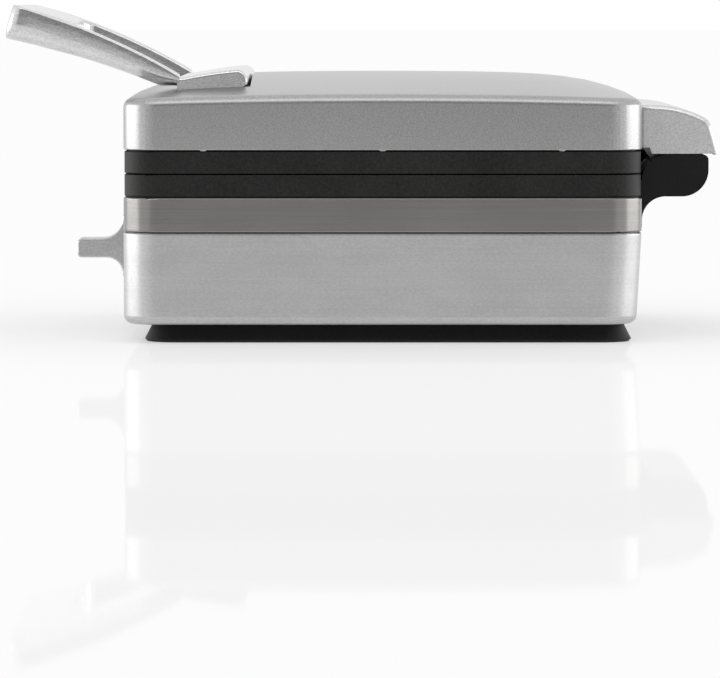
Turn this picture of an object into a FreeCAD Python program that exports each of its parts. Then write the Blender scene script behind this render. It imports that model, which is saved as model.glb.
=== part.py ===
import FreeCAD, Part
import math
import os
import Sketcher

# Waffle maker, closed, standing on its plinth. Millimetres, +Z up, the front
# and the handle towards -Y, the hinge towards +Y. The origin lies on the table
# under the middle of the body.

Vector = FreeCAD.Vector
doc = FreeCAD.newDocument("waffle_maker")
sheet = doc.addObject("Spreadsheet::Sheet", "Sizes")

SIZES = (
    # Outline shared by the lid, the frames, the band and the base
    ("body_width", 270.0),
    ("body_depth", 250.0),
    ("corner_radius", 18.0),
    ("seam_gap", 0.5),
    ("fit_gap", 0.3),
    ("edge_round", 0.6),
    # Plinth and its rubber feet
    ("plinth_height", 9.0),
    ("plinth_floor", 4.4),
    ("plinth_wall", 3.0),
    ("plinth_side_inset", 16.0),
    ("plinth_front_inset", 13.8),
    ("plinth_rear_inset", 8.4),
    ("plinth_flare", 4.0),
    ("plinth_heel", 1.2),
    ("plinth_corner", 12.0),
    ("foot_radius", 9.0),
    ("foot_depth", 1.6),
    ("foot_inset", 26.0),
    ("plinth_screw_x", 45.0),
    # Base shell and the steel band round its neck
    ("base_height", 44.0),
    ("base_floor", 2.6),
    ("base_wall", 4.6),
    ("base_draft", 2.4),
    ("base_bottom_radius", 4.0),
    ("base_boss_height", 12.0),
    ("neck_height", 17.6),
    ("band_thickness", 1.0),
    ("band_edge", 0.8),
    ("base_edge", 0.9),
    # Frames that carry the baking plates
    ("frame_height", 10.6),
    ("frame_inset", 0.5),
    ("skirt_height", 6.0),
    ("skirt_wall", 2.5),
    ("parting_gap", 0.5),
    ("frame_side", 7.3),
    ("frame_end", 16.3),
    ("pillar_radius", 5.0),
    ("pillar_side", 17.0),
    ("pillar_wall", 0.8),
    # Baking plates
    ("well_gap", 10.0),
    ("well_sink", 13.0),
    ("well_draft", 10.0),
    ("plate_rim", 5.0),
    ("plate_floor", 3.6),
    ("plate_corner", 10.0),
    ("plate_flange", 5.7),
    ("plate_recess", 0.2),
    ("flange_thickness", 3.2),
    ("flange_corner", 8.0),
    ("stud_base", 19.0),
    ("stud_height", 8.8),
    ("stud_draft", 12.0),
    # Heating elements, reflectors and their posts
    ("tube_radius", 3.3),
    ("tube_gap", 0.1),
    ("element_side", 34.0),
    ("element_end", 37.0),
    ("element_bend", 16.0),
    ("element_tail", 30.0),
    ("tail_spacing", 36.0),
    ("reflector_thickness", 0.8),
    ("reflector_margin", 8.0),
    ("post_radius", 4.0),
    ("post_x", 62.0),
    ("post_y", 34.0),
    # Lid
    ("rim_gap", 0.7),
    ("lid_wall", 2.5),
    ("lid_edge_height", 24.4),
    ("lid_crown", 10.0),
    ("lid_side_crown", 2.0),
    ("lid_shoulder", 4.0),
    ("nub_radius", 1.2),
    ("nub_spacing", 86.0),
    # Handle: two arms, a grip bar in front and a foot bar sunk in the lid
    ("handle_width", 200.0),
    ("arm_width", 14.0),
    ("handle_reach", 59.4),
    ("handle_rise", 45.2),
    ("handle_lean", 4.9),
    ("grip_thickness", 16.1),
    ("grip_length", 29.5),
    ("grip_corner", 8.0),
    ("arm_top_radius", 340.0),
    ("arm_under_radius", 408.0),
    ("tip_radius", 30.0),
    ("arm_round", 3.0),
    ("arm_root", 8.4),
    ("bar_setback", 26.5),
    ("bar_length", 35.2),
    ("bar_thickness", 11.2),
    ("bar_sink", 1.0),
    ("bar_nose", 5.7),
    ("bar_lift", 1.6),
    ("bar_valley", 2.9),
    ("bar_valley_depth", 2.3),
    ("arm_clearance", 5.9),
    # Hinge
    ("hinge_setback", 19.0),
    ("hinge_rise", 1.8),
    ("pin_radius", 3.0),
    ("pin_wall", 3.0),
    ("pin_end", 2.1),
    ("pin_gap", 0.05),
    ("clip_radius", 4.2),
    ("clip_thickness", 1.4),
    ("cover_width", 170.0),
    ("cover_wall", 2.4),
    ("cover_depth", 39.5),
    ("cover_rise", 30.7),
    ("cover_bottom", 7.0),
    ("cover_flat", 8.0),
    ("cover_round_edge", 2.0),
    ("cover_shoulder_drop", 7.6),
    ("cover_shoulder_round", 4.0),
    ("cover_lean", 4.5),
    ("cover_step", 6.6),
    ("cover_step_lean", 1.0),
    ("cover_post_radius", 4.0),
    ("cover_post_x", 25.0),
    ("cover_post_rise", 23.0),
    ("block_gap", 0.8),
    ("block_depth", 34.5),
    ("block_top", 6.4),
    ("block_drop", 14.0),
    ("block_nose", 13.0),
    ("block_shoulder", 12.4),
    ("block_throat", 11.5),
    ("block_flange", 2.0),
    ("block_flange_drop", 3.5),
    ("block_corner", 2.5),
    ("cable_channel_width", 60.0),
    ("cable_channel_height", 9.0),
    ("lug_inset", 24.8),
    ("lug_thickness", 4.0),
    ("lug_radius", 7.0),
    ("lug_flange_width", 20.0),
    ("lug_flange_thickness", 2.0),
    ("lug_flange_rise", 14.0),
    ("lug_flange_height", 14.0),
    ("lug_screw_end", 2.0),
    # Front grip
    ("lip_width", 22.0),
    ("lip_reach", 27.9),
    ("lip_thickness", 9.5),
    ("lip_rise", 26.8),
    ("lip_upper_flare", 10.5),
    ("lip_lower_flare", 8.0),
    ("lip_flange", 5.2),
    ("lip_flange_margin", 1.6),
    ("lip_round", 2.0),
    ("lip_screw_x", 5.5),
    # Fasteners
    ("screw_radius", 1.75),
    ("screw_head_radius", 3.5),
    ("screw_head", 2.2),
    ("small_screw_radius", 1.2),
    ("small_head_radius", 2.2),
    ("small_head", 1.4),
    ("screw_gap", 0.05),
    ("screw_grip", 10.0),
    ("head_recess", 0.2),
    ("bore_slack", 0.5),
    ("cut_over", 1.0),
    ("block_screw_rise", 3.0),
    ("block_screw_grip", 5.0),
    ("block_screw_inner_x", 20.0),
    ("block_screw_outer_x", 68.0),
    ("plate_screw_y", 60.0),
    ("plate_screw_grip", 6.0),
    # Electrical pieces
    ("thermostat_radius", 8.0),
    ("thermostat_height", 12.0),
    ("thermostat_flange", 11.0),
    ("blade_thickness", 0.8),
    ("blade_width", 6.3),
    ("fuse_radius", 2.2),
    ("fuse_length", 14.0),
    ("fuse_x", 30.0),
    ("fuse_stand", 0.6),
    ("terminal_width", 40.0),
    ("terminal_length", 16.0),
    ("terminal_height", 13.0),
    ("terminal_inset", 12.0),
    ("terminal_bore", 2.5),
    ("grommet_radius", 6.0),
    ("grommet_flange", 8.5),
    ("grommet_bore", 3.6),
    ("grommet_rise", 15.0),
    ("grommet_lip", 2.2),
    ("lens_side", 38.5),
    ("lens_radius", 3.5),
    ("lens_spacing", 12.0),
    ("lens_stand", 0.2),
    ("board_thickness", 1.6),
    ("board_height", 10.0),
    ("board_margin", 6.5),
    ("board_stand", 3.0),
    ("board_foot", 2.0),
    ("lamp_radius", 2.5),
)

STUDS_ACROSS = 4
STUDS_ALONG = 7
CROWN_POWER_ACROSS = 1.8
CROWN_POWER_ALONG = 6.0
BOTTOM_STEPS = 4
TOP_STEPS = 3
ROOF_GRID = 15
ROOF_OVERLAP = 1.08
INNER_SHOULDER_DROP = 0.8
HANDLE_SCREW_SHARES = (-0.8, -0.3, 0.3, 0.8)
LUG_SCREW_SHARES = (0.25, 0.75)
TOUCH = 0.01
LUG_TOP_ANGLE = math.radians(19.6)
LUG_BOTTOM_ANGLE = math.radians(-129.5)
LEFT_TURN = 1
RIGHT_TURN = -1
CORNERS = ((-1, -1), (1, -1), (1, 1), (-1, 1))


class Size:
    """A length with its spreadsheet expression and its present value."""

    def __init__(self, text, value):
        self.text = text
        self.value = value

    def __add__(self, other):
        other = as_size(other)
        return Size("(%s + %s)" % (self.text, other.text), self.value + other.value)

    def __sub__(self, other):
        other = as_size(other)
        return Size("(%s - %s)" % (self.text, other.text), self.value - other.value)

    def __mul__(self, other):
        other = as_size(other)
        return Size("(%s * %s)" % (self.text, other.text), self.value * other.value)

    def __truediv__(self, other):
        other = as_size(other)
        return Size("(%s / %s)" % (self.text, other.text), self.value / other.value)

    def __neg__(self):
        return Size("(0 - %s)" % self.text, -self.value)


def as_size(number):
    if isinstance(number, Size):
        return number
    return Size("(%r)" % float(number), float(number))


class Table:
    """The spreadsheet's sizes by name."""

    def __init__(self, names):
        for name in names:
            setattr(self, name, Size("Sizes.%s" % name, float(sheet.get(name))))


for row, (name, value) in enumerate(SIZES, start=1):
    sheet.set("A%d" % row, name)
    sheet.set("B%d" % row, str(value))
    sheet.setAlias("B%d" % row, name)
doc.recompute()
s = Table([name for name, value in SIZES])

# Levels and half sizes that several pieces share
half_width = s.body_width / 2
half_depth = s.body_depth / 2
front = -half_depth
rear = half_depth
base_top = s.plinth_height + s.base_height
base_floor_top = s.plinth_height + s.base_floor
neck_top = base_top + s.neck_height
neck_inset = s.band_thickness + s.fit_gap
lower_face = neck_top + s.frame_height
upper_face = lower_face + s.parting_gap
upper_frame_top = upper_face + s.frame_height
lid_bottom = upper_frame_top + s.rim_gap
lid_edge = lid_bottom + s.lid_edge_height
flange_half_width = half_width - s.frame_side
flange_half_length = half_depth - s.frame_end
plate_half_width = flange_half_width - s.plate_flange
plate_half_length = flange_half_length - s.plate_flange
well_near = s.well_gap / 2
well_far = plate_half_width - s.plate_rim
well_half_length = plate_half_length - s.plate_rim
plate_depth = s.well_sink + s.plate_floor
lower_plate_top = lower_face - s.plate_recess
lower_plate_back = lower_plate_top - plate_depth
upper_plate_top = upper_face + s.plate_recess
upper_plate_back = upper_plate_top + plate_depth
element_drop = s.tube_gap * 2 + s.tube_radius * 2
axis_y = rear + s.hinge_setback
axis_z = lower_face + s.hinge_rise
half_cover = s.cover_width / 2
half_block = half_cover - s.cover_wall - s.block_gap
half_handle = s.handle_width / 2
bar_front = front + s.bar_setback
bar_rear = bar_front + s.bar_length
bar_bottom = lid_edge + s.bar_sink
pocket_floor = bar_bottom - s.fit_gap
saddle_bottom = pocket_floor - s.lid_wall
inner_wall_y = half_depth - s.base_wall
lip_middle = s.plinth_height + s.lip_rise + s.lip_thickness / 2
pillar_x = half_width - s.pillar_side
pillar_y = flange_half_length + s.fit_gap * 2 + s.pillar_wall + s.screw_head_radius
pillar_top = neck_top - s.skirt_height
foot_x = half_width - s.plinth_side_inset - s.foot_inset
foot_front = front + s.plinth_front_inset + s.foot_inset
foot_rear = rear - s.plinth_rear_inset - s.foot_inset
half_lip = s.lip_width / 2
lens_x = half_width - s.lens_side
lens_z = pillar_top - s.fit_gap - s.board_height / 2
pin_inner = s.cable_channel_width / 2
pin_tip = half_block - s.pin_wall
lug_x = half_block - s.lug_inset


def bind(item, path, size):
    size = as_size(size)
    item.setExpression(path, size.text)


def new_body(name):
    body = doc.addObject("PartDesign::Body", name)
    body.Label = name
    return body


def sketch_on(body, name, role, offset=None):
    """A sketch on one of the body's own origin planes, moved along its normal."""
    sketch = body.newObject("Sketcher::SketchObject", name)
    plane = next(item for item in body.Origin.OriginFeatures if item.Role == role)
    sketch.AttachmentSupport = [(plane, "")]
    sketch.MapMode = "FlatFace"
    if offset is not None:
        bind(sketch, "AttachmentOffset.Base.z", offset)
    return sketch


def hold(sketch, kind, size, *where):
    """A dimension of the sketch, driven by a size."""
    size = as_size(size)
    index = sketch.addConstraint(Sketcher.Constraint(kind, *where, size.value))
    sketch.setExpression("Constraints[%d]" % index, size.text)


def arc_between(start, end, radius, turn):
    """The shorter arc from start to end, turning left or right on the way."""
    chord = end - start
    middle = (start + end) * 0.5
    side = Vector(-chord.y, chord.x, 0).normalize() * turn
    rise = math.sqrt(max(radius ** 2 - (chord.Length / 2) ** 2, 0.0))
    centre = middle + side * rise
    first, last = (start, end) if turn == LEFT_TURN else (end, start)
    begin = math.atan2(first.y - centre.y, first.x - centre.x)
    finish = math.atan2(last.y - centre.y, last.x - centre.x)
    if finish < begin:
        finish += 2 * math.pi
    return Part.ArcOfCircle(Part.Circle(centre, Vector(0, 0, 1), radius), begin, finish)


def outline(sketch, points, arcs=None, closed=True):
    """Lines and arcs through points; arcs maps a segment to its radius and turn."""
    arcs = arcs or {}
    points = [(as_size(across), as_size(up)) for across, up in points]
    places = [Vector(across.value, up.value, 0) for across, up in points]
    count = len(points) if closed else len(points) - 1
    first = sketch.GeometryCount
    ends = []
    for index in range(count):
        start = places[index]
        end = places[(index + 1) % len(places)]
        if index in arcs:
            radius, turn = arcs[index]
            sketch.addGeometry(arc_between(start, end, radius.value, turn), False)
            ends.append((1, 2) if turn == LEFT_TURN else (2, 1))
        else:
            sketch.addGeometry(Part.LineSegment(start, end), False)
            ends.append((1, 2))
    for index in range(count):
        following = (index + 1) % count
        if closed or index + 1 < count:
            joint = (first + index, ends[index][1], first + following, ends[following][0])
            sketch.addConstraint(Sketcher.Constraint("Coincident", *joint))
    for index, (across, up) in enumerate(points):
        geometry, end = (index, 0) if index < count else (count - 1, 1)
        spot = (-1, 1, first + geometry, ends[geometry][end])
        hold(sketch, "DistanceX", across, *spot)
        hold(sketch, "DistanceY", up, *spot)
    for index, (radius, turn) in arcs.items():
        hold(sketch, "Radius", radius, first + index)


def rounded_rectangle(sketch, left, right, low, high, radius):
    points = [
        (left + radius, low), (right - radius, low),
        (right, low + radius), (right, high - radius),
        (right - radius, high), (left + radius, high),
        (left, high - radius), (left, low + radius),
    ]
    corner = (as_size(radius), LEFT_TURN)
    outline(sketch, points, {1: corner, 3: corner, 5: corner, 7: corner})


def centred_rectangle(sketch, half_x, half_y, radius):
    rounded_rectangle(sketch, -half_x, half_x, -half_y, half_y, radius)


def circles(sketch, places, radius):
    for across, up in places:
        across = as_size(across)
        up = as_size(up)
        centre = Vector(across.value, up.value, 0)
        index = sketch.addGeometry(Part.Circle(centre, Vector(0, 0, 1), radius.value), False)
        hold(sketch, "Radius", radius, index)
        hold(sketch, "DistanceX", across, -1, 1, index, 3)
        hold(sketch, "DistanceY", up, -1, 1, index, 3)


def pad(body, sketch, length, symmetric=False, reverse=False, draft=None):
    feature = body.newObject("PartDesign::Pad", sketch.Name + "_pad")
    feature.Profile = sketch
    bind(feature, "Length", length)
    if symmetric:
        feature.SideType = "Symmetric"
    feature.Reversed = reverse
    if draft is not None:
        bind(feature, "TaperAngle", draft)
    doc.recompute()
    return feature


def pocket(body, sketch, depth, symmetric=False, reverse=False, draft=None):
    """A cut that has to take material away."""
    before = body.Shape.Volume
    feature = body.newObject("PartDesign::Pocket", sketch.Name + "_pocket")
    feature.Profile = sketch
    bind(feature, "Length", depth)
    if symmetric:
        feature.SideType = "Symmetric"
    feature.Reversed = reverse
    if draft is not None:
        bind(feature, "TaperAngle", draft)
    doc.recompute()
    if body.Shape.Volume >= before:
        raise RuntimeError("%s cuts nothing" % feature.Name)
    return feature


def loft(body, sections):
    feature = body.newObject("PartDesign::AdditiveLoft", body.Name + "_loft")
    feature.Profile = sections[0]
    feature.Sections = sections[1:]
    feature.Ruled = True
    doc.recompute()
    return feature


def round_edges(body, chosen, radius):
    """Round the edges of the body's tip that the test picks."""
    base = body.Tip
    names = []
    for index, edge in enumerate(base.Shape.Edges, start=1):
        if chosen(edge):
            names.append("Edge%d" % index)
    feature = body.newObject("PartDesign::Fillet", body.Name + "_round")
    feature.Base = (base, names)
    bind(feature, "Radius", radius)
    doc.recompute()
    return feature


def level_edges(*levels):
    """A test for edges that lie flat at one of the levels."""
    heights = [level.value for level in levels]

    def chosen(edge):
        box = edge.BoundBox
        return any(abs(box.ZMin - z) < TOUCH and abs(box.ZMax - z) < TOUCH for z in heights)

    return chosen


def side_edges(half_x, low=None):
    """A test for edges that lie in the two end faces of a piece padded along X."""

    def chosen(edge):
        box = edge.BoundBox
        flat = abs(abs(box.XMin) - half_x.value) < TOUCH and box.XLength < TOUCH
        return flat and (low is None or low(box))

    return chosen


def long_edges(y, z):
    """A test for edges that run along X through a place in the side view."""

    def chosen(edge):
        box = edge.BoundBox
        level = box.YLength < TOUCH and box.ZLength < TOUCH
        return level and abs(box.YMin - y.value) < TOUCH and abs(box.ZMin - z.value) < TOUCH

    return chosen


def place(item, x, y, z):
    bind(item, "Placement.Base.x", x)
    bind(item, "Placement.Base.y", y)
    bind(item, "Placement.Base.z", z)


def box(name, size_x, size_y, size_z, x, y, z):
    item = doc.addObject("Part::Box", name)
    bind(item, "Length", size_x)
    bind(item, "Width", size_y)
    bind(item, "Height", size_z)
    place(item, x, y, z)
    return item


def cylinder(name, radius, length, x, y, z, along=Vector(0, 0, 1)):
    item = doc.addObject("Part::Cylinder", name)
    bind(item, "Radius", radius)
    bind(item, "Height", length)
    item.Placement.Rotation = FreeCAD.Rotation(Vector(0, 0, 1), along)
    place(item, x, y, z)
    return item


def fuse(name, items):
    item = doc.addObject("Part::MultiFuse", name)
    item.Shapes = items
    item.Refine = True
    return item


def cut(name, base, tools):
    """Base less tools, which has to take material away."""
    item = doc.addObject("Part::Cut", name)
    item.Base = base
    item.Tool = tools[0] if len(tools) == 1 else group(name + "_tools", tools)
    item.Refine = True
    doc.recompute()
    if item.Shape.Volume >= base.Shape.Volume:
        raise RuntimeError("%s takes nothing away" % name)
    return item


def group(name, items):
    item = doc.addObject("Part::Compound", name)
    item.Links = items
    return item


UP = Vector(0, 0, 1)
DOWN = Vector(0, 0, -1)
REARWARD = Vector(0, 1, 0)
FORWARD = Vector(0, -1, 0)
SIDEWAYS = Vector(1, 0, 0)


def moved(place_at, along, distance):
    """A place moved along one of the directions above by a size."""
    steps = (along.x, along.y, along.z)
    return tuple(
        as_size(part) + as_size(distance) * step if step else as_size(part)
        for part, step in zip(place_at, steps)
    )


def screws(name, places, along, length, radius, head_radius, head):
    """Screws whose heads seat at the places, with shanks running along."""
    items = []
    for index, spot in enumerate(places):
        title = "%s_%d" % (name, index)
        shank = cylinder(title + "_shank", radius, length, *spot, along)
        cap = cylinder(title + "_head", head_radius, head, *moved(spot, along, -head), along)
        items.append(fuse(title, [shank, cap]))
    return group(name, items)


def bores(name, places, along, length, radius):
    """Clearance holes that start at the places and run along."""
    return [
        cylinder("%s_bore_%d" % (name, index), radius, length, *spot, along)
        for index, spot in enumerate(places)
    ]


# Places of the fasteners, each used by the screw and by every hole it passes
head_depth = s.screw_head + s.head_recess
plinth_screw_places = [
    (s.plinth_screw_x * x, foot_front if y < 0 else foot_rear, head_depth) for x, y in CORNERS
]
base_screw_places = [(pillar_x * x, pillar_y * y, lower_face - head_depth) for x, y in CORNERS]
lid_screw_places = [(pillar_x * x, pillar_y * y, upper_face + head_depth) for x, y in CORNERS]
lower_plate_screw_places = [
    ((flange_half_width - s.plate_flange / 2) * x, s.plate_screw_y * y, lower_plate_top - s.small_head)
    for x, y in CORNERS
]
upper_plate_screw_places = [
    ((flange_half_width - s.plate_flange / 2) * x, s.plate_screw_y * y, upper_plate_top + s.small_head)
    for x, y in CORNERS
]
lower_post_places = [(s.post_x * x, s.post_y * y, lower_plate_back) for x, y in CORNERS]
upper_post_places = [(s.post_x * x, s.post_y * y, upper_plate_back) for x, y in CORNERS]
block_screw_places = [
    (offset * side, inner_wall_y, neck_top - s.block_screw_rise)
    for offset in (s.block_screw_inner_x, s.block_screw_outer_x)
    for side in (-1, 1)
]
lip_screw_places = [(s.lip_screw_x * side, -inner_wall_y, lip_middle) for side in (-1, 1)]
handle_screw_places = [
    (half_handle * share, bar_front + s.bar_length / 2, saddle_bottom)
    for share in HANDLE_SCREW_SHARES
]
lug_screw_places = [
    (
        (lug_x + s.lug_flange_width / 2) * side,
        rear + s.lug_flange_thickness,
        axis_z + s.lug_flange_rise + s.lug_flange_height * share,
    )
    for side in (-1, 1)
    for share in LUG_SCREW_SHARES
]
cover_screw_places = [
    (s.cover_post_x * side, rear - s.lid_wall, axis_z + s.cover_post_rise) for side in (-1, 1)
]
lens_places = [lens_x - s.lens_spacing / 2, lens_x + s.lens_spacing / 2]
grommet_z = s.plinth_height + s.grommet_rise
screw_hole = s.screw_radius + s.screw_gap
small_screw_hole = s.small_screw_radius + s.screw_gap
pin_hole = s.pin_radius + s.pin_gap
lens_hole = s.lens_radius + s.screw_gap


def make_plinth():
    """Black foot of the base: a shallow tray whose sides flare to the table."""
    body = new_body("plinth_blank")
    sections = []
    for title, level, spread in (
        ("foot", None, s.plinth_flare - s.plinth_heel),
        ("heel", s.plinth_heel, s.plinth_flare),
        ("top", s.plinth_height, as_size(0)),
    ):
        sketch = sketch_on(body, "plinth_" + title, "XY_Plane", level)
        side = half_width - s.plinth_side_inset + spread
        rounded_rectangle(
            sketch, -side, side,
            front + s.plinth_front_inset - spread, rear - s.plinth_rear_inset + spread,
            s.plinth_corner + spread,
        )
        sections.append(sketch)
    loft(body, sections)
    hollow = sketch_on(body, "plinth_hollow", "XY_Plane", s.plinth_height)
    side = half_width - s.plinth_side_inset - s.plinth_wall
    rounded_rectangle(
        hollow, -side, side,
        front + s.plinth_front_inset + s.plinth_wall, rear - s.plinth_rear_inset - s.plinth_wall,
        s.plinth_corner - s.plinth_wall,
    )
    pocket(body, hollow, s.plinth_height - s.plinth_floor)
    tools = bores("plinth_foot", foot_places(), UP, s.foot_depth, s.foot_radius + s.fit_gap)
    through = [(x, y, as_size(0)) for x, y, z in plinth_screw_places]
    tools += bores("plinth_head", through, UP, head_depth, s.screw_head_radius + s.fit_gap)
    tools += bores("plinth_shank", through, UP, s.plinth_height, screw_hole)
    plinth = cut("plinth", body, tools)
    feet = [
        cylinder("rubber_foot_%d" % index, s.foot_radius, s.foot_depth, *spot)
        for index, spot in enumerate(foot_places())
    ]
    return [plinth, group("rubber_feet", feet)]


def foot_places():
    return [(foot_x * x, foot_front if y < 0 else foot_rear, as_size(0)) for x, y in CORNERS]


def make_base_shell():
    """Silver housing of the base, with a neck that the steel band wraps."""
    body = new_body("base_shell_blank")
    steps = []
    for step in range(BOTTOM_STEPS + 1):
        angle = math.pi / 2 * step / BOTTOM_STEPS
        rise = s.base_bottom_radius * (1 - math.cos(angle))
        steps.append((s.plinth_height + rise, s.base_bottom_radius * (1 - math.sin(angle))))
    for step in range(TOP_STEPS + 1):
        angle = math.pi / 2 * step / TOP_STEPS
        level = base_top - s.base_edge * (1 - math.sin(angle))
        steps.append((level, s.base_edge * (1 - math.cos(angle))))
    sections = []
    for index, (level, inset) in enumerate(steps):
        lean = s.base_draft * (base_top - level) / s.base_height + inset
        section = sketch_on(body, "base_section_%d" % index, "XY_Plane", level)
        side = half_width - s.base_draft / 2 * (base_top - level) / s.base_height - inset
        rounded_rectangle(section, -side, side, front + inset, rear - lean, s.corner_radius - inset)
        sections.append(section)
    loft(body, sections)
    neck = sketch_on(body, "base_neck", "XY_Plane", base_top - s.base_floor)
    centred_rectangle(
        neck, half_width - neck_inset, half_depth - neck_inset, s.corner_radius - neck_inset
    )
    pad(body, neck, s.neck_height + s.base_floor)
    hollow = sketch_on(body, "base_hollow", "XY_Plane", neck_top)
    centred_rectangle(
        hollow, half_width - s.base_wall, half_depth - s.base_wall, s.corner_radius - s.base_wall
    )
    pocket(body, hollow, neck_top - base_floor_top)
    for title, places, height in (
        ("pillars", base_screw_places, pillar_top - base_floor_top),
        ("bosses", plinth_screw_places, s.base_boss_height),
    ):
        columns = sketch_on(body, "base_" + title, "XY_Plane", base_floor_top)
        circles(columns, [(x, y) for x, y, z in places], s.pillar_radius)
        pad(body, columns, height)
    start = [(x, y, pillar_top) for x, y, z in base_screw_places]
    tools = bores("base_pillar", start, DOWN, s.screw_grip, screw_hole)
    start = [(x, y, s.plinth_height) for x, y, z in plinth_screw_places]
    tools += bores("base_boss", start, UP, s.base_floor + s.screw_grip, screw_hole)
    tools += bores("base_block", block_screw_places, REARWARD, s.base_wall, small_screw_hole)
    tools += bores("base_lip", lip_screw_places, FORWARD, s.base_wall, screw_hole)
    tools += [
        cylinder(
            "base_lens_bore_%d" % index, lens_hole, s.base_wall,
            x, front, lens_z, REARWARD,
        )
        for index, x in enumerate(lens_places)
    ]
    tools.append(
        cylinder(
            "base_grommet_bore", s.grommet_radius + s.screw_gap, s.base_wall,
            0, inner_wall_y, grommet_z, REARWARD,
        )
    )
    return [cut("base_shell", body, tools)]


def make_steel_band():
    """Brushed steel band, one closed ring of sheet round the neck."""
    body = new_body("steel_band_blank")
    sketch = sketch_on(body, "band_outline", "XY_Plane", base_top + s.seam_gap)
    centred_rectangle(sketch, half_width, half_depth, s.corner_radius)
    height = s.neck_height - s.seam_gap * 2
    pad(body, sketch, height)
    edge = base_top + s.seam_gap
    round_edges(body, level_edges(edge, edge + height), s.band_edge)
    hollow = sketch_on(body, "band_hollow", "XY_Plane", edge + height)
    inset = s.band_thickness
    centred_rectangle(hollow, half_width - inset, half_depth - inset, s.corner_radius - inset)
    pocket(body, hollow, height)
    rear_wall = [(x, rear - s.band_thickness * 2, z) for x, y, z in block_screw_places]
    front_wall = [(x, front, lens_z) for x in lens_places]
    tools = bores("band_block", rear_wall, REARWARD, s.band_thickness * 3, small_screw_hole)
    tools += bores("band_lens", front_wall, REARWARD, s.band_thickness * 2, lens_hole)
    return [cut("steel_band", body, tools)]


def frame_ring(name, bottom, plate_side):
    """Black frame: a ring with a ledge for the plate's flange on one face."""
    body = new_body(name + "_blank")
    ring = sketch_on(body, name + "_ring", "XY_Plane", bottom)
    inset = s.frame_inset
    centred_rectangle(ring, half_width - inset, half_depth - inset, s.corner_radius - inset)
    pad(body, ring, s.frame_height)
    round_edges(body, level_edges(bottom, bottom + s.frame_height), s.edge_round)
    opening = sketch_on(body, name + "_opening", "XY_Plane", bottom + s.frame_height)
    centred_rectangle(
        opening, plate_half_width + s.fit_gap * 2, plate_half_length + s.fit_gap * 2,
        s.plate_corner + s.fit_gap * 2,
    )
    pocket(body, opening, s.frame_height)
    seat = s.flange_thickness + s.plate_recess
    ledge_level = bottom + s.frame_height if plate_side == UP else bottom
    ledge = sketch_on(body, name + "_ledge", "XY_Plane", ledge_level)
    centred_rectangle(
        ledge, flange_half_width + s.fit_gap, flange_half_length + s.fit_gap, s.flange_corner + s.fit_gap
    )
    pocket(body, ledge, seat, reverse=plate_side == DOWN)
    return body


def collar(body, name, level, inset, height, reverse):
    """Thin upright ring that locates a frame inside its housing."""
    sketch = sketch_on(body, name, "XY_Plane", level)
    centred_rectangle(sketch, half_width - inset, half_depth - inset, s.corner_radius - inset)
    inner = inset + s.skirt_wall
    centred_rectangle(sketch, half_width - inner, half_depth - inner, s.corner_radius - inner)
    pad(body, sketch, height, reverse=reverse)


def make_lower_frame():
    """Lower frame, with a skirt inside the neck and a boss over each pillar."""
    body = frame_ring("lower_frame", neck_top, UP)
    collar(body, "lower_skirt", neck_top, s.base_wall + s.fit_gap, s.skirt_height, True)
    bosses = sketch_on(body, "lower_bosses", "XY_Plane", pillar_top)
    circles(bosses, [(x, y) for x, y, z in base_screw_places], s.pillar_radius)
    pad(body, bosses, s.skirt_height)
    through = [(x, y, lower_face) for x, y, z in base_screw_places]
    tools = bores("lower_head", through, DOWN, head_depth, s.screw_head_radius + s.fit_gap)
    tools += bores("lower_shank", through, DOWN, s.frame_height + s.skirt_height, screw_hole)
    skirt_y = inner_wall_y - s.skirt_wall - s.fit_gap * 2
    notches = [(x, skirt_y, z) for x, y, z in block_screw_places]
    tools += bores("lower_notch", notches, REARWARD, inner_wall_y - skirt_y, s.small_head_radius + s.fit_gap)
    ledge = lower_plate_top - s.flange_thickness
    start = [(x, y, ledge) for x, y, z in lower_plate_screw_places]
    tools += bores("lower_ledge", start, DOWN, s.plate_screw_grip, small_screw_hole)
    return [cut("lower_frame", body, tools)]


def make_upper_frame():
    """Upper frame, with a collar that fits inside the lid."""
    body = frame_ring("upper_frame", upper_face, DOWN)
    collar(body, "upper_collar", upper_frame_top, s.lid_wall + s.fit_gap, s.skirt_height, False)
    through = [(x, y, upper_face) for x, y, z in lid_screw_places]
    tools = bores("upper_head", through, UP, head_depth, s.screw_head_radius + s.fit_gap)
    tools += bores("upper_shank", through, UP, s.frame_height, screw_hole)
    ledge = upper_plate_top + s.flange_thickness
    start = [(x, y, ledge) for x, y, z in upper_plate_screw_places]
    tools += bores("upper_ledge", start, UP, s.plate_screw_grip, small_screw_hole)
    return [cut("upper_frame", body, tools)]


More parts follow.
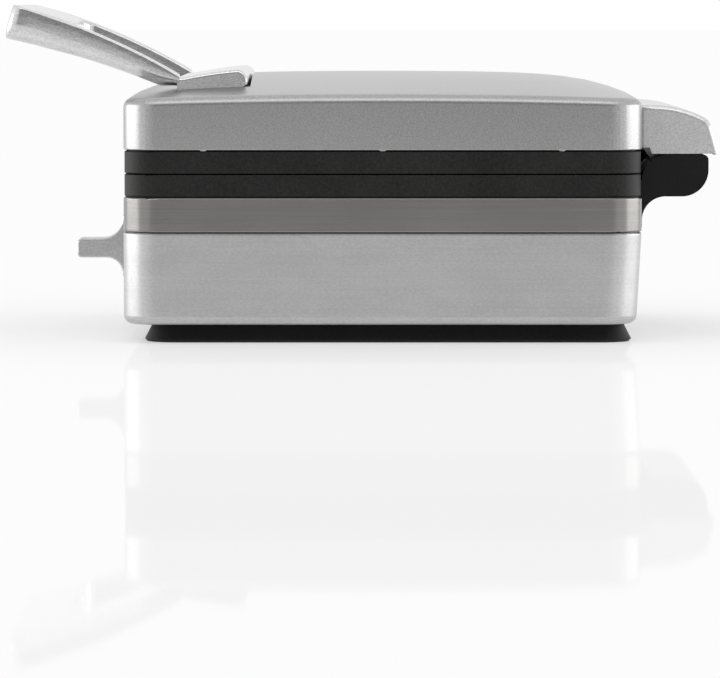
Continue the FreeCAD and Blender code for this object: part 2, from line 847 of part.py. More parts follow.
def make_plate(name, face, upward, screw_places):
    """Cast baking plate: two wells with a grid of studs, and a flange round it."""
    body = new_body(name)
    sign = -1 if upward else 1
    flange = sketch_on(body, name + "_flange", "XY_Plane", face)
    centred_rectangle(flange, flange_half_width, flange_half_length, s.flange_corner)
    pad(body, flange, s.flange_thickness, reverse=upward)
    block = sketch_on(body, name + "_block", "XY_Plane", face)
    centred_rectangle(block, plate_half_width, plate_half_length, s.plate_corner)
    pad(body, block, plate_depth, reverse=upward)
    spots = [(x, y) for x, y, z in screw_places]
    for title, radius, depth in (
        ("heads", s.small_head_radius + s.fit_gap, s.small_head),
        ("shanks", small_screw_hole, s.flange_thickness),
    ):
        holes = sketch_on(body, "%s_%s" % (name, title), "XY_Plane", face)
        circles(holes, spots, radius)
        pocket(body, holes, depth, reverse=not upward)
    wells = sketch_on(body, name + "_wells", "XY_Plane", face)
    ends = (-well_half_length, well_half_length)
    rounded_rectangle(wells, well_near, well_far, *ends, s.plate_corner / 2)
    rounded_rectangle(wells, -well_far, -well_near, *ends, s.plate_corner / 2)
    pocket(body, wells, s.well_sink, reverse=not upward, draft=-s.well_draft)
    studs = sketch_on(body, name + "_stud", "XY_Plane", face + s.well_sink * sign)
    pitch_x = (well_far - well_near) / STUDS_ACROSS
    pitch_y = well_half_length * 2 / STUDS_ALONG
    left = well_near + (pitch_x - s.stud_base) / 2
    low = (pitch_y - s.stud_base) / 2 - well_half_length
    right = left + s.stud_base
    high = low + s.stud_base
    outline(studs, [(left, low), (right, low), (right, high), (left, high)])
    stud = pad(body, studs, s.stud_height, reverse=not upward, draft=-s.stud_draft)
    grid = body.newObject("PartDesign::MultiTransform", name + "_grid")
    steps = []
    for title, axis, count, pitch in (
        ("across", "H_Axis", STUDS_ACROSS, pitch_x),
        ("along", "V_Axis", STUDS_ALONG, pitch_y),
    ):
        row = body.newObject("PartDesign::LinearPattern", "%s_%s" % (name, title))
        row.Direction = (studs, [axis])
        bind(row, "Length", pitch * (count - 1))
        row.Occurrences = count
        steps.append(row)
    other_well = body.newObject("PartDesign::Mirrored", name + "_other_well")
    other_well.MirrorPlane = (next(f for f in body.Origin.OriginFeatures if f.Role == "YZ_Plane"), [""])
    steps.append(other_well)
    grid.Originals = [stud]
    grid.Transformations = steps
    grid.Refine = False
    body.Tip = grid
    doc.recompute()
    return [body]


def make_element(name, level):
    """Tubular heating element, bent to a loop with two tails at the rear."""
    body = new_body(name)
    path = sketch_on(body, name + "_path", "XY_Plane", level)
    bend = s.element_bend
    wide = plate_half_width - s.element_side
    long = plate_half_length - s.element_end
    tail = s.tail_spacing / 2
    end = long + s.element_tail
    half_path = [
        (tail, end), (tail, long + bend), (tail + bend, long),
        (wide - bend, long), (wide, long - bend),
        (wide, -long + bend), (wide - bend, -long),
    ]
    points = half_path + [(-x, y) for x, y in reversed(half_path)]
    arcs = {
        1: (bend, LEFT_TURN), 3: (bend, RIGHT_TURN), 5: (bend, RIGHT_TURN),
        7: (bend, RIGHT_TURN), 9: (bend, RIGHT_TURN), 11: (bend, LEFT_TURN),
    }
    outline(path, points, arcs, closed=False)
    section = sketch_on(body, name + "_section", "XZ_Plane", -end)
    circles(section, [(tail, level)], s.tube_radius)
    doc.recompute()
    tube = body.newObject("PartDesign::AdditivePipe", name + "_tube")
    tube.Profile = section
    tube.Spine = (path, ["Edge%d" % index for index in range(1, len(points))])
    doc.recompute()
    return [body]


def make_reflector(name, level, upward, post_places, opening):
    """Sheet reflector behind an element, screwed to the plate's posts."""
    body = new_body(name + "_blank")
    sketch = sketch_on(body, name + "_outline", "XY_Plane", level)
    margin = s.reflector_margin
    centred_rectangle(sketch, plate_half_width - margin, plate_half_length - margin, s.plate_corner)
    pad(body, sketch, s.reflector_thickness, reverse=not upward)
    along = UP if upward else DOWN
    start = [(x, y, level) for x, y, z in post_places]
    tools = bores(name + "_post", start, along, s.reflector_thickness, screw_hole)
    if opening is not None:
        tools.append(cylinder(name + "_opening", opening, s.reflector_thickness, 0, 0, level, along))
    return [cut(name, body, tools)]


def make_posts(name, places, along):
    """Spacers between a plate and its reflector, tapped for a screw."""
    posts = []
    for index, spot in enumerate(places):
        title = "%s_%d" % (name, index)
        barrel = cylinder(title + "_barrel", s.post_radius, element_drop, *spot, along)
        hole = cylinder(title + "_hole", screw_hole, element_drop, *spot, along)
        posts.append(cut(title, barrel, [hole]))
    screw_spots = [moved(spot, along, element_drop + s.reflector_thickness) for spot in places]
    back = UP if along == DOWN else DOWN
    post_screws = screws(
        name.replace("posts", "post_screws"), screw_spots, back,
        element_drop - s.tube_gap + s.reflector_thickness,
        s.screw_radius, s.screw_head_radius, s.screw_head,
    )
    return [group(name, posts), post_screws]


def roof_height(across, along):
    """Height of the lid's crowned roof over its edge, at shares of its half sizes."""
    pillow = (1 - abs(across) ** CROWN_POWER_ACROSS) * (1 - abs(along) ** CROWN_POWER_ALONG)
    return s.lid_crown.value * pillow + s.lid_side_crown.value * (1 - along ** 2)


def above_roof(drop):
    """All the room above the lid's roof, or above a roof that lies lower by drop."""
    shares = [ROOF_OVERLAP * (2 * step / (ROOF_GRID - 1) - 1) for step in range(ROOF_GRID)]
    grid = [
        [
            Vector(
                across * half_width.value,
                along * half_depth.value,
                lid_edge.value - drop + roof_height(across, along),
            )
            for along in shares
        ]
        for across in shares
    ]
    surface = Part.BSplineSurface()
    surface.interpolate(grid)
    return surface.toShape().extrude(UP * (s.lid_crown.value * 6))


def rounded_prism(half_x, half_y, radius, low, high):
    """An upright block with rounded corners."""
    flat = Part.makeBox(half_x * 2, half_y * 2, high - low, Vector(-half_x, -half_y, low))
    upright = [edge for edge in flat.Edges if edge.BoundBox.ZLength > high - low - TOUCH]
    return flat.makeFillet(radius, upright)


def make_lid_shell():
    """Painted lid: a thin shell with a pillow-shaped roof and a seat for the handle."""
    ceiling = lid_edge.value + s.lid_crown.value * 3
    wall = s.lid_wall.value
    wide = half_width.value
    deep = half_depth.value
    corner = s.corner_radius.value
    rim = lid_bottom.value
    roof = above_roof(0.0)
    outer = rounded_prism(wide, deep, corner, rim, ceiling).cut(roof)
    side_top = rim + s.lid_edge_height.value / 2
    shoulder = [edge for edge in outer.Edges if edge.BoundBox.ZMin > side_top]
    outer = outer.makeFillet(s.lid_shoulder.value, shoulder)
    lip = [edge for edge in outer.Edges if edge.BoundBox.ZMax < rim + TOUCH]
    outer = outer.makeFillet(s.edge_round.value, lip)
    inner = rounded_prism(wide - wall, deep - wall, corner - wall, rim - wall, ceiling)
    inner = inner.cut(above_roof(wall))
    clear = s.fit_gap.value
    seat_half = half_handle.value + clear
    seat_front = bar_front.value - clear
    seat_length = s.bar_length.value + 2 * clear
    seat_floor = pocket_floor.value
    saddle = Part.makeBox(
        2 * (seat_half + wall), seat_length + 2 * wall, ceiling - saddle_bottom.value,
        Vector(-seat_half - wall, seat_front - wall, saddle_bottom.value),
    )
    shell = outer.cut(inner.cut(saddle))
    pillars = [
        Part.makeCylinder(
            s.pillar_radius.value, ceiling - upper_frame_top.value,
            Vector(x.value, y.value, upper_frame_top.value),
        ).cut(above_roof(wall / 2))
        for x, y, z in lid_screw_places
    ]
    nubs = []
    for side in (-1, 1):
        for step in (-1, 0, 1):
            centre = Vector(side * (wide - wall / 2), step * s.nub_spacing.value, upper_frame_top.value)
            nubs.append(Part.makeCylinder(s.nub_radius.value, s.rim_gap.value * 2, centre))
    shell = shell.fuse(pillars + nubs)
    seat = Part.makeBox(
        2 * seat_half, seat_length, ceiling - seat_floor, Vector(-seat_half, seat_front, seat_floor)
    )
    holes = [
        Part.makeCylinder(
            screw_hole.value, s.lid_wall.value * 2, Vector(x.value, y.value, z.value - wall / 2)
        )
        for x, y, z in handle_screw_places
    ]
    holes += [
        Part.makeCylinder(
            screw_hole.value, (s.screw_grip + head_depth + s.head_recess).value,
            Vector(x.value, y.value, upper_frame_top.value),
        )
        for x, y, z in lid_screw_places
    ]
    for places, radius in ((lug_screw_places, small_screw_hole), (cover_screw_places, screw_hole)):
        for x, y, z in places:
            start = Vector(x.value, deep - wall * 1.5, z.value)
            holes.append(Part.makeCylinder(radius.value, wall * 2, start, REARWARD))
    lid = doc.addObject("Part::Feature", "lid_shell")
    lid.Shape = shell.cut([seat] + holes).removeSplitter()
    return [lid]


def make_handle():
    """Cast handle: a loop of grip bar, two arms and a foot bar."""
    body = new_body("handle_blank")
    sketch = sketch_on(body, "handle_side", "YZ_Plane")
    tip_y = front - s.handle_reach
    tip_top = lid_edge + s.handle_rise
    tip_low = tip_top - s.grip_thickness
    bar_top = bar_bottom + s.bar_thickness
    nose_y = bar_rear - s.bar_nose
    under = lid_edge + s.arm_clearance
    points = [
        (tip_y, tip_low),
        (tip_y + s.handle_lean, tip_top),
        (bar_front + s.bar_valley, bar_top - s.bar_valley_depth),
        (nose_y, bar_top + s.bar_lift),
        (nose_y, bar_bottom + s.bar_lift),
        (bar_front, bar_bottom),
        (bar_front, under),
        (bar_front - s.arm_root, under),
    ]
    arcs = {
        0: (s.tip_radius, RIGHT_TURN),
        1: (s.arm_top_radius, RIGHT_TURN),
        3: (s.bar_nose, RIGHT_TURN),
        7: (s.arm_under_radius, LEFT_TURN),
    }
    outline(sketch, points, arcs)
    pad(body, sketch, s.handle_width, symmetric=True)
    loop = sketch_on(body, "handle_loop", "XY_Plane", tip_top + s.grip_thickness)
    inner = half_handle - s.arm_width
    rounded_rectangle(loop, -inner, inner, tip_y + s.grip_length, bar_front, s.grip_corner)
    pocket(body, loop, s.handle_rise + s.grip_thickness * 2)
    reach = (tip_y + s.fit_gap).value
    round_edges(body, side_edges(half_handle, lambda box: box.YMin < reach), s.arm_round)
    start = [moved(spot, UP, s.lid_wall) for spot in handle_screw_places]
    tools = bores("handle", start, UP, s.screw_grip, screw_hole)
    return [cut("handle", body, tools)]


def make_hinge_block():
    """Black hinge block on the rear of the base, slotted for the lid's lugs."""
    body = new_body("hinge_block_blank")
    sketch = sketch_on(body, "block_side", "YZ_Plane")
    back = rear + s.block_depth
    top = axis_z + s.block_top
    bottom = axis_z - s.block_drop
    flange = rear + s.block_flange
    points = [
        (rear, bottom - s.block_throat - s.block_flange_drop),
        (flange, bottom - s.block_throat - s.block_flange_drop),
        (flange, bottom - s.block_throat),
        (flange + s.block_throat, bottom),
        (back - s.block_nose, bottom),
        (back, bottom + s.block_nose),
        (back, top - s.block_corner),
        (back - s.block_corner, top),
        (rear + s.block_shoulder + s.block_flange, top),
        (rear + s.block_flange, top - s.block_shoulder),
        (rear, top - s.block_shoulder),
    ]
    arcs = {
        2: (s.block_throat, RIGHT_TURN),
        4: (s.block_nose, LEFT_TURN),
        6: (s.block_corner, LEFT_TURN),
        8: (s.block_shoulder, LEFT_TURN),
    }
    outline(sketch, points, arcs)
    pad(body, sketch, half_block * 2, symmetric=True)
    slot_floor = axis_z - s.lug_radius - s.block_gap
    slot_width = s.lug_thickness + s.block_gap * 2
    tools = []
    for title, side in (("left", -1), ("right", 1)):
        slot_x = lug_x * side - slot_width / 2
        tools.append(
            box(
                "block_slot_" + title, slot_width, s.block_depth + s.cut_over * 2,
                top - slot_floor + s.cut_over, slot_x, rear - s.cut_over, slot_floor,
            )
        )
        along = SIDEWAYS * side
        tools.append(
            cylinder(
                "block_bore_" + title, pin_hole, pin_tip - pin_inner + s.cut_over,
                (pin_inner - s.cut_over) * side, axis_y, axis_z, along,
            )
        )
    tools.append(
        box(
            "block_cable_channel", s.cable_channel_width, s.hinge_setback + s.lug_radius,
            s.cable_channel_height, -s.cable_channel_width / 2, rear - s.cut_over,
            axis_z - s.cable_channel_height / 2,
        )
    )
    start = [(x, rear, z) for x, y, z in block_screw_places]
    tools += bores("block_screw", start, REARWARD, s.block_screw_grip, small_screw_hole)
    return [cut("hinge_block", body, tools)]


def make_hinge_pins():
    """Two steel pins, each with a push-on ring on its inner end, in the cable channel."""
    pins = []
    clips = []
    for title, side in (("left", -1), ("right", 1)):
        along = SIDEWAYS * side
        pins.append(
            cylinder(
                "hinge_pin_" + title, s.pin_radius, pin_tip - pin_inner + s.pin_end,
                (pin_inner - s.pin_end) * side, axis_y, axis_z, along,
            )
        )
        inner = (pin_inner - s.clip_thickness) * side
        ring = cylinder(
            "pin_clip_disc_" + title, s.clip_radius, s.clip_thickness, inner, axis_y, axis_z, along
        )
        hole = cylinder(
            "pin_clip_hole_" + title, pin_hole, s.clip_thickness, inner, axis_y, axis_z, along
        )
        clips.append(cut("pin_clip_" + title, ring, [hole]))
    return [group("hinge_pins", pins), group("pin_clips", clips)]


def make_hinge_lugs():
    """Steel lugs that carry the lid on the pins, bent from one flange each."""
    lugs = []
    for title, side in (("left", -1), ("right", 1)):
        body = new_body("hinge_lug_blank_" + title)
        sketch = sketch_on(
            body, "lug_side_" + title, "YZ_Plane", lug_x * side - s.lug_thickness / 2
        )
        low = axis_z + s.lug_flange_rise
        high = low + s.lug_flange_height
        points = [
            (rear, low),
            (rear, high),
            (rear + s.lug_flange_thickness + s.lug_radius, high),
            (
                axis_y + s.lug_radius * math.cos(LUG_TOP_ANGLE),
                axis_z + s.lug_radius * math.sin(LUG_TOP_ANGLE),
            ),
            (
                axis_y + s.lug_radius * math.cos(LUG_BOTTOM_ANGLE),
                axis_z + s.lug_radius * math.sin(LUG_BOTTOM_ANGLE),
            ),
        ]
        outline(sketch, points, {3: (s.lug_radius, RIGHT_TURN)})
        pad(body, sketch, s.lug_thickness)
        inner = (lug_x - s.lug_thickness / 2) * side
        flange_x = inner if side > 0 else inner - s.lug_flange_width
        flange = box(
            "lug_flange_" + title, s.lug_flange_width, s.lug_flange_thickness, s.lug_flange_height,
            flange_x, rear, low,
        )
        both = fuse("lug_whole_" + title, [body, flange])
        doc.recompute()
        eye = cylinder(
            "lug_eye_" + title, pin_hole, s.lug_thickness * 2,
            lug_x * side - s.lug_thickness, axis_y, axis_z, SIDEWAYS,
        )
        spots = [(x, rear, z) for x, y, z in lug_screw_places if x.value * side > 0]
        holes = bores("lug_" + title, spots, REARWARD, s.lug_flange_thickness, small_screw_hole)
        lugs.append(cut("hinge_lug_" + title, both, [eye] + holes))
    return [group("hinge_lugs", lugs)]


def make_hinge_cover():
    """Silver cover over the hinge, fixed to the lid's rear wall."""
    body = new_body("hinge_cover_blank")
    sketch = sketch_on(body, "cover_side", "YZ_Plane")
    top = axis_z + s.cover_rise
    bottom = axis_z + s.cover_bottom
    back = rear + s.cover_depth
    shoulder = top - s.cover_shoulder_drop
    step = rear + s.cover_step
    start = rear + s.fit_gap
    points = [
        (start, lid_bottom),
        (start, top),
        (rear + s.cover_flat, top),
        (back - s.cover_lean, shoulder),
        (back, bottom),
        (step, bottom),
        (step - s.cover_step_lean, lid_bottom),
    ]
    span = s.cover_depth - s.cover_lean - s.cover_flat
    crown = (span * span / s.cover_shoulder_drop + s.cover_shoulder_drop) / 2
    outline(sketch, points, {2: (crown, RIGHT_TURN)})
    pad(body, sketch, s.cover_width, symmetric=True)
    round_edges(body, long_edges(back - s.cover_lean, shoulder), s.cover_shoulder_round)
    above = (bottom + s.cover_round_edge * 3).value
    behind = start.value + TOUCH
    ends = side_edges(half_cover, lambda box: box.ZMax > above and box.YMax > behind)
    round_edges(body, ends, s.cover_round_edge)
    wall = s.cover_wall
    hollow = sketch_on(body, "cover_hollow", "YZ_Plane")
    points = [
        (rear - s.cut_over, bottom - s.cut_over),
        (rear - s.cut_over, top - wall),
        (rear + s.cover_flat, top - wall),
        (back - s.cover_lean - wall, shoulder - wall * INNER_SHOULDER_DROP),
        (back - wall, bottom),
        (back - wall, bottom - s.cut_over),
    ]
    outline(hollow, points, {2: (crown - wall, RIGHT_TURN)})
    pocket(body, hollow, s.cover_width - wall * 2, symmetric=True)
    posts = []
    for index, (x, y, z) in enumerate(cover_screw_places):
        posts.append(
            cylinder(
                "cover_post_%d" % index, s.cover_post_radius, s.hinge_setback,
                x, start, z, REARWARD,
            )
        )
    whole = fuse("hinge_cover_whole", [body] + posts)
    doc.recompute()
    spots = [(x, start, z) for x, y, z in cover_screw_places]
    return [cut("hinge_cover", whole, bores("cover_post", spots, REARWARD, s.screw_grip, screw_hole))]


def make_front_grip():
    """Silver grip on the base's front: a narrow tab that flares into a thick flange."""
    body = new_body("front_grip_blank")
    sketch = sketch_on(body, "grip_side", "YZ_Plane")
    face = front - s.lip_flange
    low = s.plinth_height + s.lip_rise
    high = low + s.lip_thickness
    tip = front - s.lip_reach
    upper = s.lip_upper_flare
    lower = s.lip_lower_flare
    margin = s.lip_flange_margin
    nose = s.lip_round
    points = [
        (front, low - lower - margin),
        (front, high + upper + margin),
        (face, high + upper + margin),
        (face, high + upper),
        (face - upper, high),
        (tip + nose, high),
        (tip, high - nose),
        (tip, low + nose),
        (tip + nose, low),
        (face - lower, low),
        (face, low - lower),
        (face, low - lower - margin),
    ]
    arcs = {
        3: (upper, RIGHT_TURN),
        5: (nose, LEFT_TURN),
        7: (nose, LEFT_TURN),
        9: (lower, RIGHT_TURN),
    }
    outline(sketch, points, arcs)
    pad(body, sketch, half_lip * 2, symmetric=True)
    start = [(x, front, z) for x, y, z in lip_screw_places]
    return [cut("front_grip", body, bores("grip", start, FORWARD, s.screw_grip, screw_hole))]


def make_fasteners():
    """Screws, each as long as the walls it passes and its grip."""
    common = (s.screw_radius, s.screw_head_radius, s.screw_head)
    small = (s.small_screw_radius, s.small_head_radius, s.small_head)
    return [
        screws(
            "plinth_screws", plinth_screw_places, UP,
            base_floor_top - head_depth + s.screw_grip - s.bore_slack, *common,
        ),
        screws(
            "lower_frame_screws", base_screw_places, DOWN,
            s.frame_height + s.skirt_height - head_depth + s.screw_grip - s.bore_slack, *common,
        ),
        screws(
            "lid_frame_screws", lid_screw_places, UP,
            s.frame_height - head_depth + s.screw_grip, *common,
        ),
        screws(
            "lower_plate_screws", lower_plate_screw_places, DOWN,
            s.flange_thickness + s.plate_screw_grip - s.small_head * 2, *small,
        ),
        screws(
            "upper_plate_screws", upper_plate_screw_places, UP,
            s.flange_thickness + s.plate_screw_grip - s.small_head * 2, *small,
        ),
        screws(
            "hinge_block_screws", block_screw_places, REARWARD,
            s.base_wall + s.block_screw_grip - s.bore_slack, *small,
        ),
        screws(
            "front_grip_screws", lip_screw_places, FORWARD,
            s.base_wall + s.screw_grip - s.bore_slack, *common,
        ),
        screws(
            "handle_screws", handle_screw_places, UP,
            s.lid_wall + s.screw_grip - s.bore_slack, *common,
        ),
        screws(
            "hinge_lug_screws", lug_screw_places, FORWARD,
            s.lug_flange_thickness + s.lid_wall + s.lug_screw_end, *small,
        ),
        screws(
            "hinge_cover_screws", cover_screw_places, REARWARD,
            s.lid_wall + s.screw_grip - s.bore_slack, *common,
        ),
    ]


def make_electrics():
    """Thermostat, thermal fuse, terminal block, cord grommet, lamps and lenses."""
    back = lower_plate_back
    can = cylinder("thermostat_can", s.thermostat_radius, s.thermostat_height, 0, 0, back, DOWN)
    ear = cylinder("thermostat_ear", s.thermostat_flange, s.reflector_thickness, 0, 0, back, DOWN)
    blades = [
        box(
            "thermostat_blade_%d" % index, s.blade_thickness, s.blade_width, s.tube_radius * 2,
            s.thermostat_radius / 2 * side - s.blade_thickness / 2, -s.blade_width / 2,
            back - s.thermostat_height - s.tube_radius * 2,
        )
        for index, side in enumerate((-1, 1))
    ]
    thermostat = fuse("thermostat", [can, ear] + blades)

    sheet_under = back - element_drop - s.reflector_thickness
    fuse_z = sheet_under - s.fuse_radius - s.fuse_stand
    tube = cylinder("fuse_tube", s.fuse_radius, s.fuse_length, s.fuse_x, 0, fuse_z, SIDEWAYS)
    saddle = box(
        "fuse_saddle", s.fuse_length / 2, s.fuse_radius * 2, s.fuse_radius + s.fuse_stand,
        s.fuse_x + s.fuse_length / 4, -s.fuse_radius, fuse_z,
    )
    thermal_fuse = fuse("thermal_fuse", [tube, saddle])

    near = inner_wall_y - s.terminal_inset - s.terminal_length
    block = box(
        "terminal_body", s.terminal_width, s.terminal_length, s.terminal_height,
        -s.terminal_width / 2, near, base_floor_top,
    )
    ways = [
        cylinder(
            "terminal_way_%d" % index, s.terminal_bore, s.terminal_length,
            s.terminal_width / 3 * step, near, base_floor_top + s.terminal_height / 2, REARWARD,
        )
        for index, step in enumerate((-1, 0, 1))
    ]
    doc.recompute()
    terminal_block = cut("terminal_block", block, ways)

    sleeve = cylinder(
        "grommet_sleeve", s.grommet_radius, s.base_wall, 0, inner_wall_y, grommet_z, REARWARD
    )
    head = cylinder(
        "grommet_head", s.grommet_flange, s.grommet_lip, 0, inner_wall_y, grommet_z, FORWARD
    )
    whole = fuse("grommet_whole", [sleeve, head])
    doc.recompute()
    way = cylinder(
        "grommet_way", s.grommet_bore, s.base_wall + s.grommet_lip,
        0, inner_wall_y - s.grommet_lip, grommet_z, REARWARD,
    )
    grommet = cut("cord_grommet", whole, [way])

    lenses = [
        cylinder(
            "lens_%d" % index, s.lens_radius, s.base_wall + s.lens_stand + s.board_stand / 3,
            x, front - s.lens_stand, lens_z, REARWARD,
        )
        for index, x in enumerate(lens_places)
    ]
    board_y = -inner_wall_y + s.board_stand
    board_width = s.lens_spacing + s.board_margin * 2
    board = box(
        "board_sheet", board_width, s.board_thickness, s.board_height,
        lens_x - board_width / 2, board_y, lens_z - s.board_height / 2,
    )
    feet = [
        box(
            "board_foot_%d" % index, s.board_foot, s.board_stand, s.board_height,
            lens_x + (board_width - s.board_foot) / 2 * side - s.board_foot / 2, -inner_wall_y,
            lens_z - s.board_height / 2,
        )
        for index, side in enumerate((-1, 1))
    ]
    lamps = [
        cylinder(
            "lamp_%d" % index, s.lamp_radius, s.board_stand / 2,
            x, board_y - s.board_stand / 2, lens_z, REARWARD,
        )
        for index, x in enumerate(lens_places)
    ]
    return [
        thermostat,
        thermal_fuse,
        terminal_block,
        grommet,
        group("indicator_lenses", lenses),
        fuse("lamp_board", [board] + feet + lamps),
    ]


nodes = []
nodes += make_plinth()
nodes += make_base_shell()
nodes += make_steel_band()
nodes += make_lower_frame()
nodes += make_upper_frame()
nodes += make_plate("lower_plate", lower_plate_top, True, lower_plate_screw_places)
nodes += make_plate("upper_plate", upper_plate_top, False, upper_plate_screw_places)
nodes += make_element("lower_element", lower_plate_back - s.tube_gap - s.tube_radius)
nodes += make_element("upper_element", upper_plate_back + s.tube_gap + s.tube_radius)
nodes += make_reflector(
    "lower_reflector", lower_plate_back - element_drop, False, lower_post_places,
    s.thermostat_flange + s.fit_gap,
)
nodes += make_reflector(
    "upper_reflector", upper_plate_back + element_drop, True, upper_post_places, None
)
nodes += make_posts("lower_posts", lower_post_places, DOWN)
nodes += make_posts("upper_posts", upper_post_places, UP)
nodes += make_lid_shell()
nodes += make_handle()
nodes += make_hinge_block()
nodes += make_hinge_pins()
nodes += make_hinge_lugs()
nodes += make_hinge_cover()
nodes += make_front_grip()
nodes += make_fasteners()
nodes += make_electrics()
doc.recompute()

faults = [item.Name for item in doc.Objects if "Invalid" in item.State or "Error" in item.State]
for node in nodes:
    if node.Shape.isNull() or not node.Shape.isValid() or not node.Shape.Solids:
        faults.append(node.Label)
if faults:
    raise RuntimeError("failed: %s" % ", ".join(faults))

os.makedirs("parts", exist_ok=True)
for node in nodes:
    node.Shape.exportStep("parts/%s.step" % node.Label)
    print("%s: %d solid(s), %.1f mm3" % (node.Label, len(node.Shape.Solids), node.Shape.Volume))
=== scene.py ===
"""Looks of a waffle maker: finishes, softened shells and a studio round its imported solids.

Lengths are in metres in the part's frame: X across, -Y to the front, Z up from the table.
"""

import logging
import math
import operator
from dataclasses import dataclass, replace
from enum import Enum
from functools import reduce
from typing import Callable, Iterator, Mapping, Sequence

import bmesh
import bpy
from mathutils import Matrix, Vector


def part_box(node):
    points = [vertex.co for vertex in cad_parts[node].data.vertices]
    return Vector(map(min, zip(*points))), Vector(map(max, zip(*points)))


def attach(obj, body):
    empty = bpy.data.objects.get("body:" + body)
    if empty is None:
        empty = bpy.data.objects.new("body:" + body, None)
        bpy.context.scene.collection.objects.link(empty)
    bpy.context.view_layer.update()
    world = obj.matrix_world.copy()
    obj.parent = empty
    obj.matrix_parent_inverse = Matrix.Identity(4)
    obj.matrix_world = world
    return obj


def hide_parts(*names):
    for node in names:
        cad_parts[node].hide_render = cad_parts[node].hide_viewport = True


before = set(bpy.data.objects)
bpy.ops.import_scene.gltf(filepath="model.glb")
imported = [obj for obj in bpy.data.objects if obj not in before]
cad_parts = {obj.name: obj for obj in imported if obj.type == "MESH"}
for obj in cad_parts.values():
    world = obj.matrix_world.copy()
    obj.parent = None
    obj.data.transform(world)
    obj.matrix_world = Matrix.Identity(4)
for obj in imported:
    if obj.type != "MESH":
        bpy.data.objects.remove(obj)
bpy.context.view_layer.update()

MM = 0.001
HAIR = 0.1 * MM  # less than any feature
WELD = 1e-6  # points this close are one
TOUCH = 1e-7  # a cut or an outline's end this close to a point meets it
MID_ROUND = 0.29  # how far in the middle of a round lies, as a share of its radius
SHARP_ANGLE = math.radians(40)
LOG = logging.getLogger("waffle_maker")

Triple = tuple[float, float, float]
Colour = Triple
Pair = tuple[float, float]

WHITE = (1.0, 1.0, 1.0, 1.0)
ALONG_X = Vector((1.0, 0.0, 0.0))
ALONG_Y = Vector((0.0, 1.0, 0.0))


class Turn(Enum):
    """Which way an outline bends on its way along an arc."""

    LEFT = 1
    RIGHT = -1


class Body(Enum):
    """The two bodies that pieces ride on."""

    BASE = "base"
    LID = "lid"


def grey(level: float, warmth: float = 0.0) -> Colour:
    """A neutral colour from a display level.

    Args:
        level: Display level from 0 to 255.
        warmth: Share by which red rises and blue falls.

    Returns:
        The colour in linear light.
    """
    linear = ((level / 255 + 0.055) / 1.055) ** 2.4
    return (linear * (1 + warmth), linear, linear * (1 - warmth))


def brighter(colour: Colour, share: float) -> Colour:
    """A colour with a share of itself added; a negative share darkens it."""
    red, green, blue = (min(part * (1 + share), 1.0) for part in colour)
    return (red, green, blue)


class Signal:
    """A shader socket that takes part in Python arithmetic."""

    def __init__(self, sheet: "NodeSheet", socket: bpy.types.NodeSocket) -> None:
        """Keep the socket and the sheet that new Math nodes go to."""
        self.sheet = sheet
        self.socket = socket

    def _math(
        self, operation: str, first: "float | Signal", second: "float | Signal"
    ) -> "Signal":
        """The result of one Math node on two numbers or signals."""
        node = self.sheet.add("ShaderNodeMath", {0: first, 1: second}, operation=operation)
        return self.sheet.out(node)

    def __add__(self, other: "float | Signal") -> "Signal":
        """This plus other."""
        return self._math("ADD", self, other)

    def __radd__(self, other: float) -> "Signal":
        """Other plus this."""
        return self._math("ADD", other, self)

    def __sub__(self, other: "float | Signal") -> "Signal":
        """This less other."""
        return self._math("SUBTRACT", self, other)

    def __rsub__(self, other: float) -> "Signal":
        """Other less this."""
        return self._math("SUBTRACT", other, self)

    def __mul__(self, other: "float | Signal") -> "Signal":
        """This times other."""
        return self._math("MULTIPLY", self, other)

    def __rmul__(self, other: float) -> "Signal":
        """Other times this."""
        return self._math("MULTIPLY", other, self)

    def above(self, limit: float) -> "Signal":
        """One where this is over the limit, else zero."""
        return self._math("GREATER_THAN", self, limit)


